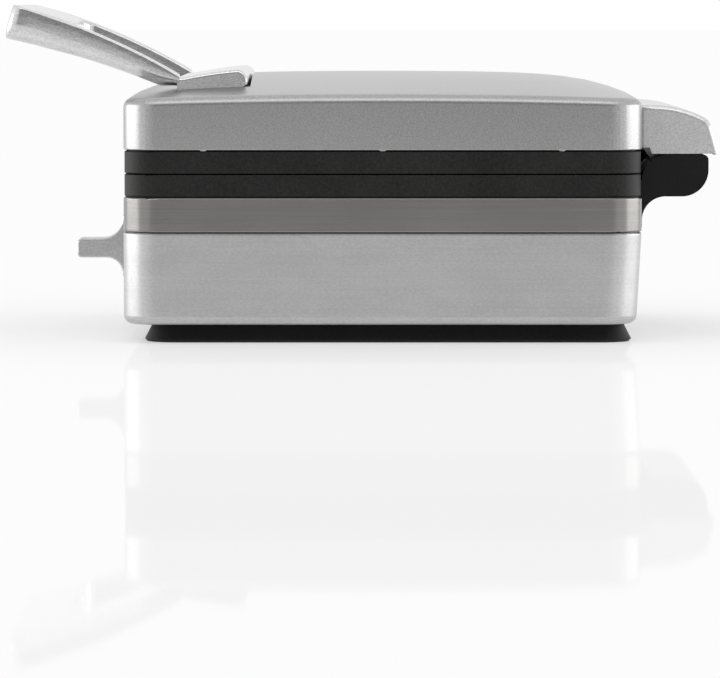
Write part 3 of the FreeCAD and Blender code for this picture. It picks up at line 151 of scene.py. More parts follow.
class NodeSheet:
    """The node tree of one material."""

    def __init__(self, name: str) -> None:
        """Start an empty material of that name."""
        self.material = bpy.data.materials.new(name)
        self.material.use_nodes = True
        self.tree = self.material.node_tree
        self.tree.nodes.clear()

    def add(
        self, kind: str, sockets: Mapping[object, object] | None = None, **settings: object
    ) -> bpy.types.Node:
        """Any node, with its settings made first and then its sockets.

        Args:
            kind: The node's type name.
            sockets: Numbers, colours or signals by socket name or index.
            **settings: Properties by name; stops fills a ramp with places and colours.

        Returns:
            The new node.
        """
        node = self.tree.nodes.new(kind)
        for name, value in settings.items():
            if name == "stops":
                self._fill_ramp(node, value)
            else:
                setattr(node, name, value)
        for name, value in (sockets or {}).items():
            if isinstance(value, Signal):
                self.tree.links.new(value.socket, node.inputs[name])
            else:
                node.inputs[name].default_value = value
        return node

    @staticmethod
    def _fill_ramp(node: bpy.types.Node, stops: Sequence[tuple[float, Colour]]) -> None:
        """Set a ramp's two stops from their places and colours."""
        for element, (place, colour) in zip(node.color_ramp.elements, stops):
            element.position = place
            element.color = (*colour, 1.0)

    def out(self, node: bpy.types.Node, name: object = 0) -> Signal:
        """One of a node's outputs as a signal."""
        return Signal(self, node.outputs[name])

    def place(self, scale: Triple = (1.0, 1.0, 1.0)) -> Signal:
        """Object coordinates, stretched by a factor on X, Y and Z."""
        coordinates = self.add("ShaderNodeTexCoord")
        sockets = {"Vector": self.out(coordinates, "Object"), "Scale": scale}
        return self.out(self.add("ShaderNodeMapping", sockets))

    def beyond(self, axis: str, limit: float) -> Signal:
        """One where the piece lies past a limit on an axis, else zero."""
        axes = self.add("ShaderNodeSeparateXYZ", {"Vector": self.place()})
        return self.out(axes, axis).above(limit)

    def noise(self, waves: Triple, detail: int) -> Signal:
        """Noise from 0 to 1, by its waves in a metre on each axis and its finer octaves."""
        sockets = {"Vector": self.place(waves), "Scale": 1.0, "Detail": detail}
        return self.out(self.add("ShaderNodeTexNoise", sockets), "Fac")

    def tint(self, share: Signal, *stops: tuple[float, Colour]) -> Signal:
        """A colour that follows a share through a ramp with a stop at either end."""
        return self.out(self.add("ShaderNodeValToRGB", {"Fac": share}, stops=stops), "Color")

    def blend(self, share: Signal, first: Signal, second: Colour) -> Signal:
        """A colour that goes over to another by a share."""
        return self.out(self.add("ShaderNodeMixRGB", {0: share, 1: first, 2: (*second, 1.0)}))

    def bump(self, height: Signal, distance: float, strength: float) -> Signal:
        """A normal from a height of 0 to 1, where 1 stands for the distance."""
        sockets = {"Height": height, "Distance": distance, "Strength": strength}
        return self.out(self.add("ShaderNodeBump", sockets))

    def glow(self, level: float) -> Signal:
        """A shader that shines in an even grey."""
        colour = (level, level, level, 1.0)
        return self.out(self.add("ShaderNodeEmission", {"Color": colour, "Strength": 1.0}))

    def mix(self, share: float, first: Signal, second: Signal) -> Signal:
        """A shader that goes over to another by a share."""
        return self.out(self.add("ShaderNodeMixShader", {0: share, 1: first, 2: second}))

    def close(self, shader: Signal) -> bpy.types.Material:
        """Lead a shader to the output and hand the material over."""
        self.add("ShaderNodeOutputMaterial", {"Surface": shader})
        return self.material

    def surface(self, sockets: Mapping[object, object]) -> bpy.types.Material:
        """Close the sheet with a Principled surface of these values and signals."""
        return self.close(self.out(self.add("ShaderNodeBsdfPrincipled", sockets)))


@dataclass(frozen=True)
class Layer:
    """One layer of noise in a texture.

    Attributes:
        waves: Waves in a metre on X, Y and Z.
        detail: Octaves of finer noise.
        weight: The layer's part in the colour.
        spread: How far it moves the roughness.
        relief: Height of its bump.
        strength: How far the bump shows.
    """

    waves: Triple
    detail: int
    weight: float
    spread: float = 0.0
    relief: float = 0.0
    strength: float = 0.0


@dataclass(frozen=True)
class Texture:
    """What a family of finishes has in common.

    Attributes:
        layers: Its layers of noise.
        values: Its plain surface values by socket name.
        reach: How far from a half of the noise its darkest and lightest places lie.
        down: Share of the colour that the darkest places lack.
        up: Share of the colour that the lightest places have on top.
        limit: Level over which the noise turns into specks; none leaves it soft.
    """

    layers: tuple[Layer, ...]
    values: Mapping[str, float]
    reach: float
    down: float
    up: float
    limit: float | None = None


@dataclass(frozen=True)
class Finish:
    """A texture with a name, a colour in linear light and a roughness."""

    name: str
    colour: Colour
    roughness: float
    texture: Texture

    def build(self) -> bpy.types.Material:
        """The finish's material, made once."""
        found = bpy.data.materials.get(self.name)
        if found:
            return found
        sheet = NodeSheet(self.name)
        return sheet.surface(self.sockets(sheet))

    def sockets(self, sheet: NodeSheet) -> dict[str, object]:
        """The surface's values and signals by socket name."""
        texture = self.texture
        noises = [sheet.noise(layer.waves, layer.detail) for layer in texture.layers]
        parts = [noise * layer.weight for noise, layer in zip(noises, texture.layers)]
        share = reduce(operator.add, parts)
        if texture.limit is not None:
            share = share.above(texture.limit)
        dark = (0.5 - texture.reach, brighter(self.colour, -texture.down))
        light = (0.5 + texture.reach, brighter(self.colour, texture.up))
        sockets = {**texture.values, "Base Color": sheet.tint(share, dark, light)}
        for noise, layer in zip(noises, texture.layers):
            if layer.spread:
                sockets["Roughness"] = self.roughness + layer.spread * (noise - 0.5)
            if layer.relief:
                sockets["Normal"] = sheet.bump(noise, layer.relief, layer.strength)
        return sockets


@dataclass(frozen=True)
class SplitFinish(Finish):
    """A finish that has another colour past a limit on an axis, and may turn dull there; the
    base's dark, dull part is painted shade in its seams.
    """

    axis: str
    limit: float
    other: Colour
    dulling: float = 0.0

    def sockets(self, sheet: NodeSheet) -> dict[str, object]:
        """The surface's values and signals, with the change at the limit."""
        sockets = super().sockets(sheet)
        past = sheet.beyond(self.axis, self.limit)
        sockets["Base Color"] = sheet.blend(past, sockets["Base Color"], self.other)
        if self.dulling:
            sockets["Metallic"] = 1 - past
            sockets["Roughness"] = sockets["Roughness"] + self.dulling * past
        return sockets


def even(waves: float) -> Triple:
    """As many waves on each axis."""
    return (waves, waves, waves)


def banded(along: float, up: float) -> Triple:
    """As many waves on X and on Y, and others on Z."""
    return (along, along, up)


PAINT_FLAKE = 0.7 * MM
STREAK = 0.14 * MM
PATCH = 14.0 * MM
SATIN_GRAIN = 0.7 * MM
CAST_GRAIN = 0.6 * MM
MOULD_GRAIN = 0.9 * MM
SPECK = 0.8 * MM

METALLIC_PAINT = Texture(
    (
        Layer(
            even(1 / PAINT_FLAKE),
            detail=3, weight=0.85, spread=0.08, relief=0.02 * MM, strength=0.35,
        ),
        Layer(even(9.0), detail=1, weight=0.15),
    ),
    {"Metallic": 0.9, "Coat Weight": 0.08, "Coat Roughness": 0.12},
    reach=0.25, down=0.26, up=0.26,
)
BRUSHED_METAL = Texture(
    (
        Layer(
            banded(14.0, 1 / STREAK),
            detail=4, weight=0.6, spread=0.14, relief=0.006 * MM, strength=0.6,
        ),
        Layer(banded(4.0, 0.12 / STREAK), detail=2, weight=0.1),
        Layer(banded(16.0, 22.0), detail=2, weight=0.3),
    ),
    {"Metallic": 1.0},
    reach=0.15, down=0.18, up=0.18,
)
SATIN_METAL = Texture(
    (
        Layer(banded(0.45 / PATCH, 1 / PATCH), detail=3, weight=0.3, spread=0.08),
        Layer(
            banded(0.5 / SATIN_GRAIN, 1 / SATIN_GRAIN),
            detail=3, weight=0.5, relief=0.012 * MM, strength=0.3,
        ),
        Layer(banded(9.0, 900.0), detail=2, weight=0.2),
    ),
    {"Metallic": 1.0},
    reach=0.1, down=0.08, up=0.08,
)
CAST_METAL = Texture(
    (
        Layer(
            (1 / CAST_GRAIN, 0.5 / CAST_GRAIN, 1 / CAST_GRAIN),
            detail=3, weight=0.7, relief=0.02 * MM, strength=0.4,
        ),
        Layer((420.0, 40.0, 420.0), detail=3, weight=0.3, spread=0.12),
    ),
    {"Metallic": 1.0},
    reach=0.15, down=0.16, up=0.16,
)
MOULDED_PLASTIC = Texture(
    (
        Layer(even(1 / MOULD_GRAIN), detail=2, weight=0.6, relief=0.04 * MM, strength=0.5),
        Layer(even(30.0), detail=3, weight=0.4, spread=0.12),
    ),
    {"Specular IOR Level": 0.25},
    reach=0.15, down=0.6, up=0.8,
)
SHINY_PLASTIC = replace(MOULDED_PLASTIC, values={"Specular IOR Level": 0.5})
NON_STICK_COAT = Texture(
    (Layer(even(1 / SPECK), detail=2, weight=1.0, spread=0.1, relief=0.02 * MM, strength=0.4),),
    {"Coat Weight": 0.15, "Coat Roughness": 0.3},
    reach=0.5, down=0.0, up=2.0, limit=0.68,
)
TURNED_METAL = Texture(
    (
        Layer(even(900.0), detail=2, weight=0.5, relief=0.006 * MM, strength=0.4),
        Layer(even(60.0), detail=3, weight=0.5, spread=0.15),
    ),
    {"Metallic": 1.0},
    reach=0.25, down=0.25, up=0.25,
)
CLEAR_LENS = Texture(
    (Layer(even(700.0), detail=1, weight=1.0, spread=0.06, relief=0.02 * MM, strength=0.3),),
    {"Coat Weight": 0.6, "Coat Roughness": 0.05},
    reach=0.25, down=0.0, up=0.0,
)

# Above this level the base shell's neck, seen only through the seams beside the steel band, is
# painted near-black, non-metallic and rougher: painted shade in the seam grooves.
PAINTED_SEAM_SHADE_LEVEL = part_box("steel_band")[0].z - 0.4 * MM
LENS_MIDDLE = sum(corner.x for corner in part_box("indicator_lenses")) / 2
LENS_RED = (0.55, 0.03, 0.02)
LENS_GREEN = (0.05, 0.45, 0.08)

LID_PAINT = Finish("lid_paint", grey(169), 0.32, METALLIC_PAINT)
# The hood wears the lid's metallic paint in a lighter copy, grey 207 against the lid's 169:
# painted light for the brighter light that falls on the hood's end.
COVER_PAINT_PAINTED_LIGHT = Finish("cover_paint_painted_light", grey(207), 0.34, METALLIC_PAINT)
# The base's satin metal turns into painted shade above the seam level: a near-black, dull neck
# stands for the shadow in the seams.
BASE_SATIN = SplitFinish(
    "base_satin", grey(190), 0.34, SATIN_METAL, "Z", PAINTED_SEAM_SHADE_LEVEL, grey(20), dulling=0.4
)
BAND_STEEL = Finish("band_steel", grey(135, 0.03), 0.24, BRUSHED_METAL)
HANDLE_METAL = Finish("handle_metal", grey(210), 0.22, CAST_METAL)
GRIP_METAL = Finish("grip_metal", grey(196), 0.34, CAST_METAL)
FRAME_PLASTIC = Finish("frame_plastic", grey(24, 0.04), 0.5, MOULDED_PLASTIC)
PLINTH_PLASTIC = Finish("plinth_plastic", grey(14, 0.04), 0.5, MOULDED_PLASTIC)
BLOCK_PLASTIC = Finish("block_plastic", grey(12), 0.36, MOULDED_PLASTIC)
FOOT_RUBBER = Finish("foot_rubber", grey(30), 0.8, MOULDED_PLASTIC)
PLATE_COAT = Finish("plate_coat", grey(32), 0.36, NON_STICK_COAT)
SCREW_STEEL = Finish("screw_steel", grey(165), 0.32, TURNED_METAL)
PIN_STEEL = Finish("pin_steel", grey(165), 0.3, TURNED_METAL)
HEATER_STEEL = Finish("heater_steel", grey(110, 0.06), 0.42, TURNED_METAL)
SHEET_ALUMINIUM = Finish("sheet_aluminium", grey(200), 0.3, TURNED_METAL)
POST_BRASS = Finish("post_brass", (0.55, 0.38, 0.14), 0.3, TURNED_METAL)
PHENOLIC = Finish("phenolic", grey(50, 0.1), 0.35, SHINY_PLASTIC)
WHITE_PLASTIC = Finish("white_plastic", grey(225, 0.02), 0.45, SHINY_PLASTIC)
BOARD_RESIN = Finish("board_resin", (0.03, 0.18, 0.06), 0.35, SHINY_PLASTIC)
LAMP_LENS = SplitFinish("lamp_lens", LENS_RED, 0.12, CLEAR_LENS, "X", LENS_MIDDLE, LENS_GREEN)


class Blank:
    """A mesh in the making."""

    def __init__(self) -> None:
        """Start with nothing."""
        self.bm = bmesh.new()

    def block(self, low: Vector, high: Vector) -> None:
        """Add a box between its lowest and its highest corner."""
        place = Matrix.Translation((low + high) / 2) @ Matrix.Diagonal((*(high - low), 1.0))
        bmesh.ops.create_cube(self.bm, size=1.0, matrix=place)

    def edges(self, test: Callable[[Vector, Vector], bool]) -> list[bmesh.types.BMEdge]:
        """The edges whose two ends pass a test."""
        return [edge for edge in self.bm.edges if test(edge.verts[0].co, edge.verts[1].co)]

    def end_edges(self, test: Callable[[Vector, Vector], bool]) -> list[bmesh.types.BMEdge]:
        """The edges in planes across X whose two ends pass a test."""
        return self.edges(lambda a, b: abs(a.x - b.x) < WELD and test(a, b))

    def faces(self, test: Callable[[Vector], bool]) -> list[bmesh.types.BMFace]:
        """The faces whose middle passes a test."""
        return [face for face in self.bm.faces if test(face.calc_center_median())]

    def bevel(
        self, edges: Sequence[bmesh.types.BMEdge], width: float, steps: int, clamp: bool = True
    ) -> None:
        """Round edges.

        Args:
            edges: The edges to round.
            width: The round's width.
            steps: How many faces it is made of.
            clamp: Whether short edges nearby may narrow it.
        """
        bmesh.ops.bevel(
            self.bm, geom=list(edges), offset=width, offset_type="OFFSET", segments=steps,
            profile=0.5, affect="EDGES", material=-1, clamp_overlap=clamp,
        )

    def slice(self, point: Sequence[float], normal: Vector) -> None:
        """Cut the whole mesh along a plane, and keep both sides."""
        everything = self.bm.verts[:] + self.bm.edges[:] + self.bm.faces[:]
        bmesh.ops.bisect_plane(
            self.bm, geom=everything, dist=WELD, plane_co=point, plane_no=normal
        )

    def drop_faces(self, faces: Sequence[bmesh.types.BMFace]) -> None:
        """Delete faces with the edges and points that only they used."""
        bmesh.ops.delete(self.bm, geom=list(faces), context="FACES")

    def extrude_faces(self, faces: Sequence[bmesh.types.BMFace], way: Vector) -> None:
        """Extrude faces along a way; the faces themselves stay where they were."""
        grown = bmesh.ops.extrude_face_region(self.bm, geom=list(faces))["geom"]
        verts = [item for item in grown if isinstance(item, bmesh.types.BMVert)]
        bmesh.ops.translate(self.bm, verts=verts, vec=way)

    def join(self, other: "Blank", place: Matrix) -> None:
        """Take in another mesh, moved to its place, and use it up."""
        mesh = bpy.data.meshes.new("joined")
        other.bm.to_mesh(mesh)
        other.bm.free()
        mesh.transform(place)
        self.bm.from_mesh(mesh)
        bpy.data.meshes.remove(mesh)

    def thicken(self, wall: float) -> None:
        """Turn a single skin into a wall that grows inwards."""
        bmesh.ops.recalc_face_normals(self.bm, faces=self.bm.faces[:])
        bmesh.ops.solidify(self.bm, geom=self.bm.faces[:], thickness=wall)

    def show(self, name: str) -> bpy.types.Object:
        """Use the mesh up for an object in the scene."""
        mesh = bpy.data.meshes.new(name)
        self.bm.to_mesh(mesh)
        self.bm.free()
        item = bpy.data.objects.new(name, mesh)
        bpy.context.scene.collection.objects.link(item)
        return item

    def piece(
        self, name: str, finish: Finish, body: Body, nodes: Sequence[str]
    ) -> None:
        """Turn the mesh into a finished piece.

        Args:
            name: The piece's name.
            finish: What it is dressed in.
            body: The body it rides on.
            nodes: The solids it stands for.
        """
        bmesh.ops.remove_doubles(self.bm, verts=self.bm.verts[:], dist=WELD)
        bmesh.ops.recalc_face_normals(self.bm, faces=self.bm.faces[:])
        item = self.show(name)
        item.data.shade_smooth()
        item.data.set_sharp_from_angle(angle=SHARP_ANGLE)
        item.data.materials.append(finish.build())
        item.modifiers.new("flats", "WEIGHTED_NORMAL").keep_sharp = True
        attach(item, body.value)
        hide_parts(*nodes)
        LOG.info("%s: %d faces", name, len(item.data.polygons))


class SideOutline:
    """A closed outline in a plane across X, drawn from point to point."""

    def __init__(self, blank: Blank, x: float, start: Pair) -> None:
        """Start at a place (y, z) in the plane at x."""
        self.blank = blank
        self.x = x
        self.first = blank.bm.verts.new((x, *start))
        self.last = self.first

    def line(self, y: float, z: float) -> None:
        """Go straight to a place."""
        grown = bmesh.ops.extrude_vert_indiv(self.blank.bm, verts=[self.last])
        self.last = grown["verts"][0]
        self.last.co = Vector((self.x, y, z))

    def arc(self, y: float, z: float, radius: float, turn: Turn, steps: int) -> None:
        """Go to a place along an arc.

        Args:
            y: Where the arc ends.
            z: Where the arc ends.
            radius: The arc's radius.
            turn: Which way it bends.
            steps: How many edges it is made of.
        """
        start = self.last.co.copy()
        end = Vector((self.x, y, z))
        chord = end - start
        left = Vector((0.0, -chord.z, chord.y)).normalized() * turn.value
        rise = math.sqrt(max(radius ** 2 - chord.length_squared / 4, 0.0))
        centre = (start + end) / 2 + left * rise
        angle = 2 * math.asin(min(chord.length / 2 / radius, 1.0)) * turn.value
        spun = bmesh.ops.spin(
            self.blank.bm, geom=[self.last], cent=centre, axis=ALONG_X, angle=angle,
            steps=steps, use_merge=False,
        )
        self.last = next(
            item for item in spun["geom_last"] if isinstance(item, bmesh.types.BMVert)
        )

    def extrude(self, width: float) -> None:
        """Join the end to the start, fill the outline and extrude it along X."""
        bm = self.blank.bm
        if (self.last.co - self.first.co).length < TOUCH:
            bmesh.ops.weld_verts(bm, targetmap={self.last: self.first})
        else:
            bm.edges.new((self.last, self.first))
        filled = bmesh.ops.contextual_create(bm, geom=bm.edges[:])
        self.blank.extrude_faces(filled["faces"][:1], ALONG_X * width)


def arc_height(y: float, start: Pair, end: Pair, radius: float) -> float:
    """Height of an upward-bulging arc through two places.

    Args:
        y: Where the height is wanted.
        start: One place (y, z) on the arc.
        end: Another place (y, z) on the arc.
        radius: The arc's radius.

    Returns:
        The arc's z at y.
    """
    middle = ((start[0] + end[0]) / 2, (start[1] + end[1]) / 2)
    chord = (end[0] - start[0], end[1] - start[1])
    length = math.hypot(*chord)
    rise = math.sqrt(radius ** 2 - length ** 2 / 4) / length
    side = 1 if chord[0] > 0 else -1
    centre = (middle[0] + chord[1] * rise * side, middle[1] - chord[0] * rise * side)
    return centre[1] + math.sqrt(max(radius ** 2 - (y - centre[0]) ** 2, 0.0))


@dataclass
class LidShell:
    """The painted lid: rounded sides, a soft shoulder and a pillow-shaped roof."""

    corner: float = 18.0 * MM
    corner_steps: int = 12
    shoulder: float = 4.0 * MM
    shoulder_steps: int = 6
    rim_round: float = 0.6 * MM
    rim_steps: int = 2
    rim_drop: float = 0.7 * MM
    wall: float = 2.5 * MM
    edge_height: float = 24.4 * MM
    crown: float = 10.0 * MM
    side_crown: float = 2.0 * MM
    power_across: float = 1.8
    power_along: float = 6.0
    grid: int = 22
    seat_gap: float = 0.3 * MM
    nub_radius: float = 1.2 * MM
    nub_stretch: Triple = (1.0, 1.6, 0.6)
    nub_spacing: float = 86.0 * MM
    nub_steps: int = 8

    def roof(self, across: float, along: float) -> float:
        """Height of the roof over the lid's edge.

        Args:
            across: Share of the half width.
            along: Share of the half depth.

        Returns:
            The height.
        """
        pillow = (1 - abs(across) ** self.power_across) * (1 - abs(along) ** self.power_along)
        return self.crown * pillow + self.side_crown * (1 - along ** 2)

    def build(self) -> None:
        """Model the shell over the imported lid."""
        low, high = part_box("lid_shell")
        half_x, half_y = high.x, high.y
        bottom = low.z + self.rim_drop
        edge = bottom + self.edge_height
        blank = Blank()
        blank.block(Vector((-half_x, -half_y, bottom)), Vector((half_x, half_y, edge)))
        corners = blank.edges(lambda a, b: abs(a.z - b.z) > self.corner)
        blank.bevel(corners, self.corner, self.corner_steps)
        shoulder = blank.edges(lambda a, b: min(a.z, b.z) > edge - MM)
        blank.bevel(shoulder, self.shoulder, self.shoulder_steps)
        rim = blank.edges(lambda a, b: max(a.z, b.z) < bottom + HAIR)
        blank.bevel(rim, self.rim_round, self.rim_steps)
        seat_low, seat_high = self.seat()
        for step in range(1, self.grid):
            share = 2 * step / self.grid - 1
            blank.slice((share * half_x, 0.0, 0.0), ALONG_X)
            blank.slice((0.0, share * half_y, 0.0), ALONG_Y)
        for point in (seat_low, seat_high):
            blank.slice(point, ALONG_X)
            blank.slice(point, ALONG_Y)
        middle = (bottom + edge) / 2
        for vert in blank.bm.verts:
            if vert.co.z > middle:
                vert.co.z += self.roof(vert.co.x / half_x, vert.co.y / half_y)
        blank.drop_faces(blank.faces(lambda spot: spot.z < bottom + HAIR / 2))
        self.sink_seat(blank, seat_low, seat_high)
        blank.thicken(self.wall)
        self.add_nubs(blank, half_x, bottom)
        blank.piece("lid_skin", LID_PAINT, Body.LID, ["lid_shell"])

    def seat(self) -> tuple[Vector, Vector]:
        """Corners of the seat that the handle's foot bar is sunk in."""
        low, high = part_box("handle")
        gap = self.seat_gap
        floor = low.z - gap
        front = high.y - HandleCasting.bar_length - gap
        return Vector((low.x - gap, front, floor)), Vector((high.x + gap, high.y + gap, floor))

    @staticmethod
    def sink_seat(blank: Blank, low: Vector, high: Vector) -> None:
        """Open the roof over the seat and give it walls and a floor."""

        def inside(spot: Vector) -> bool:
            """Whether a face's middle lies over the seat."""
            return low.x < spot.x < high.x and low.y < spot.y < high.y and spot.z > low.z - MM

        lid = blank.faces(inside)
        for item in bmesh.ops.extrude_face_region(blank.bm, geom=lid)["geom"]:
            if isinstance(item, bmesh.types.BMVert):
                item.co.z = low.z
        blank.drop_faces([face for face in lid if face.is_valid])

    def add_nubs(self, blank: Blank, half_x: float, level: float) -> None:
        """Hang the small feet under the rim that keep it off the frame."""
        across = half_x - self.wall / 2
        stretch = Matrix.Diagonal((*self.nub_stretch, 1.0))
        for side in (-1, 1):
            for step in (-1, 0, 1):
                spot = Vector((side * across, step * self.nub_spacing, level))
                bmesh.ops.create_uvsphere(
                    blank.bm, u_segments=2 * self.nub_steps, v_segments=self.nub_steps,
                    radius=self.nub_radius, matrix=Matrix.Translation(spot) @ stretch,
                )


@dataclass(frozen=True)
class GripPlace:
    """One place along the handle's grip, in plan."""

    inside: Vector
    start: Vector
    across: float
    along: float


@dataclass
class HandleCasting:
    """The loop handle: a swept grip with two arms, and the foot bar it springs from."""

    bar_length: float = 35.2 * MM
    bar_height: float = 11.2 * MM
    bar_lift: float = 1.6 * MM
    bar_nose: float = 5.7 * MM
    nose_steps: int = 12
    bar_crown: float = 200.0 * MM
    crown_steps: int = 8
    bar_valley: float = 2.9 * MM
    valley_depth: float = 2.3 * MM
    end_round: float = 1.6 * MM
    end_steps: int = 4
    arm_width: float = 14.0 * MM
    grip_depth: float = 29.5 * MM
    grip_height: float = 16.1 * MM
    lean: float = 4.9 * MM
    inner_corner: float = 8.0 * MM
    outer_square: float = 10.0
    top_radius: float = 340.0 * MM
    under_radius: float = 408.0 * MM
    root_rise: float = 4.9 * MM
    root_length: float = 8.4 * MM
    edge: float = 1.1 * MM
    inner_edge: float = 1.6 * MM
    belly: float = 0.5
    belly_width: float = 6.5 * MM
    front_belly: float = 0.25
    crown: float = 0.5 * MM
    arm_steps: int = 16
    corner_steps: int = 14
    front_steps: int = 8
    belly_steps: int = 8

    def __post_init__(self) -> None:
        """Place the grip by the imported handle's box."""
        self.low, self.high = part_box("handle")
        self.front_bar = self.high.y - self.bar_length
        self.inner = self.high.x - self.arm_width
        self.bend = self.low.y + self.grip_depth + self.inner_corner
        self.centre = Vector((self.inner - self.inner_corner, self.bend))
        self.reach = Vector((self.high.x - self.centre.x, self.bend - self.low.y))
        floor = self.low.z + self.bar_height - self.valley_depth
        self.valley = (self.front_bar + self.bar_valley, floor)

    def build(self) -> None:
        """Model the grip and the foot bar as one casting."""
        blank = Blank()
        self.add_bar(blank)
        blank.join(self.grip(), Matrix.Identity(4))
        blank.piece("handle_casting", HANDLE_METAL, Body.LID, ["handle"])

    def add_bar(self, blank: Blank) -> None:
        """Draw the foot bar's side and extrude it across the lid."""
        low, high = self.low, self.high
        top = low.z + self.bar_height
        nose = high.y - self.bar_nose
        draw = SideOutline(blank, low.x, (self.front_bar, low.z))
        draw.line(self.front_bar, self.valley[1])
        draw.line(*self.valley)
        draw.arc(nose, top + self.bar_lift, self.bar_crown, Turn.RIGHT, self.crown_steps)
        draw.arc(nose, low.z + self.bar_lift, self.bar_nose, Turn.RIGHT, self.nose_steps)
        draw.extrude(high.x - low.x)
        ends = blank.end_edges(lambda a, b: max(a.y, b.y) > self.front_bar + HAIR)
        blank.bevel(ends, self.end_round, self.end_steps)

    def top(self, y: float) -> float:
        """Height of the grip's upper face."""
        tip = (self.low.y + self.lean, self.high.z)
        return arc_height(y, tip, self.valley, self.top_radius)

    def under(self, y: float) -> float:
        """Height of the grip's lower face."""
        tip = (self.low.y, self.high.z - self.grip_height)
        root = (self.front_bar - self.root_length, self.low.z + self.root_rise)
        return arc_height(min(y, root[0]), tip, root, self.under_radius)

    def places(self) -> Iterator[GripPlace]:
        """Places along the right half of the grip, from the arm's root to the middle.

        Yields:
            The places in order.
        """
        root = self.front_bar + MM
        for step in range(self.arm_steps):
            y = root + (self.bend - root) * step / self.arm_steps
            yield GripPlace(Vector((self.inner, y)), Vector((self.centre.x, y)), 1.0, 0.0)
        square = 2 / self.outer_square
        for step in range(self.corner_steps + 1):
            angle = math.pi / 2 * step / self.corner_steps
            turn = Vector((max(math.cos(angle), 0.0), -max(math.sin(angle), 0.0)))
            inside = self.centre + turn * self.inner_corner
            yield GripPlace(inside, self.centre, turn.x ** square, (-turn.y) ** square)
        for step in range(1, self.front_steps + 1):
            x = self.centre.x * (1 - step / self.front_steps)
            inside = Vector((x, self.bend - self.inner_corner))
            yield GripPlace(inside, Vector((x, self.bend)), 0.0, 1.0)

    def rim(self, place: GripPlace, height: float, inset: float) -> Vector:
        """The grip's outer side in plan.

        Args:
            place: Where along the grip.
            height: Share of the height there.
            inset: How far the side has turned in at that height.

        Returns:
            The place in plan.
        """
        side = self.reach.x - inset
        lean = self.lean * max(min(height, 1.0), 0.0)
        front = self.reach.y - lean - self.front_belly * inset
        return place.start + Vector((side * place.across, -front * place.along))

    def section(self, place: GripPlace) -> list[Vector]:
        """The grip's section at one place.

        Args:
            place: Where along the grip.

        Returns:
            Points round the section, from the inner upper edge outwards.
        """
        width = (self.rim(place, 1.0, 0.0) - place.inside).length
        tall = self.top(place.inside.y) - self.under(place.inside.y)
        inner, outer = self.inner_edge, self.edge
        inner_mid, outer_mid = MID_ROUND * inner, MID_ROUND * outer
        spots = [
            (0.0, 1 - inner / tall, 0.0),
            (inner_mid / width, 1 - inner_mid / tall, 0.0),
            (inner / width, 1.0, 0.0),
            (0.5, 1 + self.crown / tall, 0.0),
            (1.0, 1.0, outer),
            (1.0, 1 - outer_mid / tall, outer_mid),
            (1.0, 1 - outer / tall, 0.0),
            (1.0, (1 + self.belly) / 2, 0.0),
        ]
        for step in range(self.belly_steps):
            angle = math.pi / 2 * step / (self.belly_steps - 1)
            inset = self.belly_width * (1 - math.cos(angle))
            spots.append((1.0, self.belly * (1 - math.sin(angle)), inset))
        spots += [
            (0.5, 0.0, self.belly_width),
            (inner / width, 0.0, 0.0),
            (inner_mid / width, inner_mid / tall, 0.0),
            (0.0, inner / tall, 0.0),
            (0.0, 0.5, 0.0),
        ]
        points = []
        for share, height, inset in spots:
            plan = place.inside.lerp(self.rim(place, height, inset), share)
            low, high = self.under(plan.y), self.top(plan.y)
            points.append(Vector((plan.x, plan.y, low + (high - low) * height)))
        return points

    def grip(self) -> Blank:
        """Extrude the section along the right half of the grip and mirror it.

        Returns:
            The whole grip, closed at both roots.
        """
        blank = Blank()
        bm = blank.bm
        verts: list[bmesh.types.BMVert] = []
        ring: list[bmesh.types.BMEdge] = []
        for place in self.places():
            points = self.section(place)
            if not verts:
                verts = [bm.verts.new(point) for point in points]
                ring = [bm.edges.new((verts[k - 1], verts[k])) for k in range(len(verts))]
                bmesh.ops.contextual_create(bm, geom=ring)
                continue
            grown = bmesh.ops.extrude_edge_only(bm, edges=ring)["geom"]
            fresh = {item for item in grown if isinstance(item, bmesh.types.BMVert)}
            ring = [
                item for item in grown
                if isinstance(item, bmesh.types.BMEdge) and fresh.issuperset(item.verts)
            ]
            ends = [[edge.other_vert(vert) for edge in vert.link_edges] for vert in verts]
            verts = [next(vert for vert in reached if vert in fresh) for reached in ends]
            for vert, point in zip(verts, points):
                vert.co = point
        everything = bm.verts[:] + bm.edges[:] + bm.faces[:]
        bmesh.ops.mirror(
            bm, geom=everything, matrix=Matrix.Identity(4), merge_dist=WELD, axis="X"
        )
        return blank


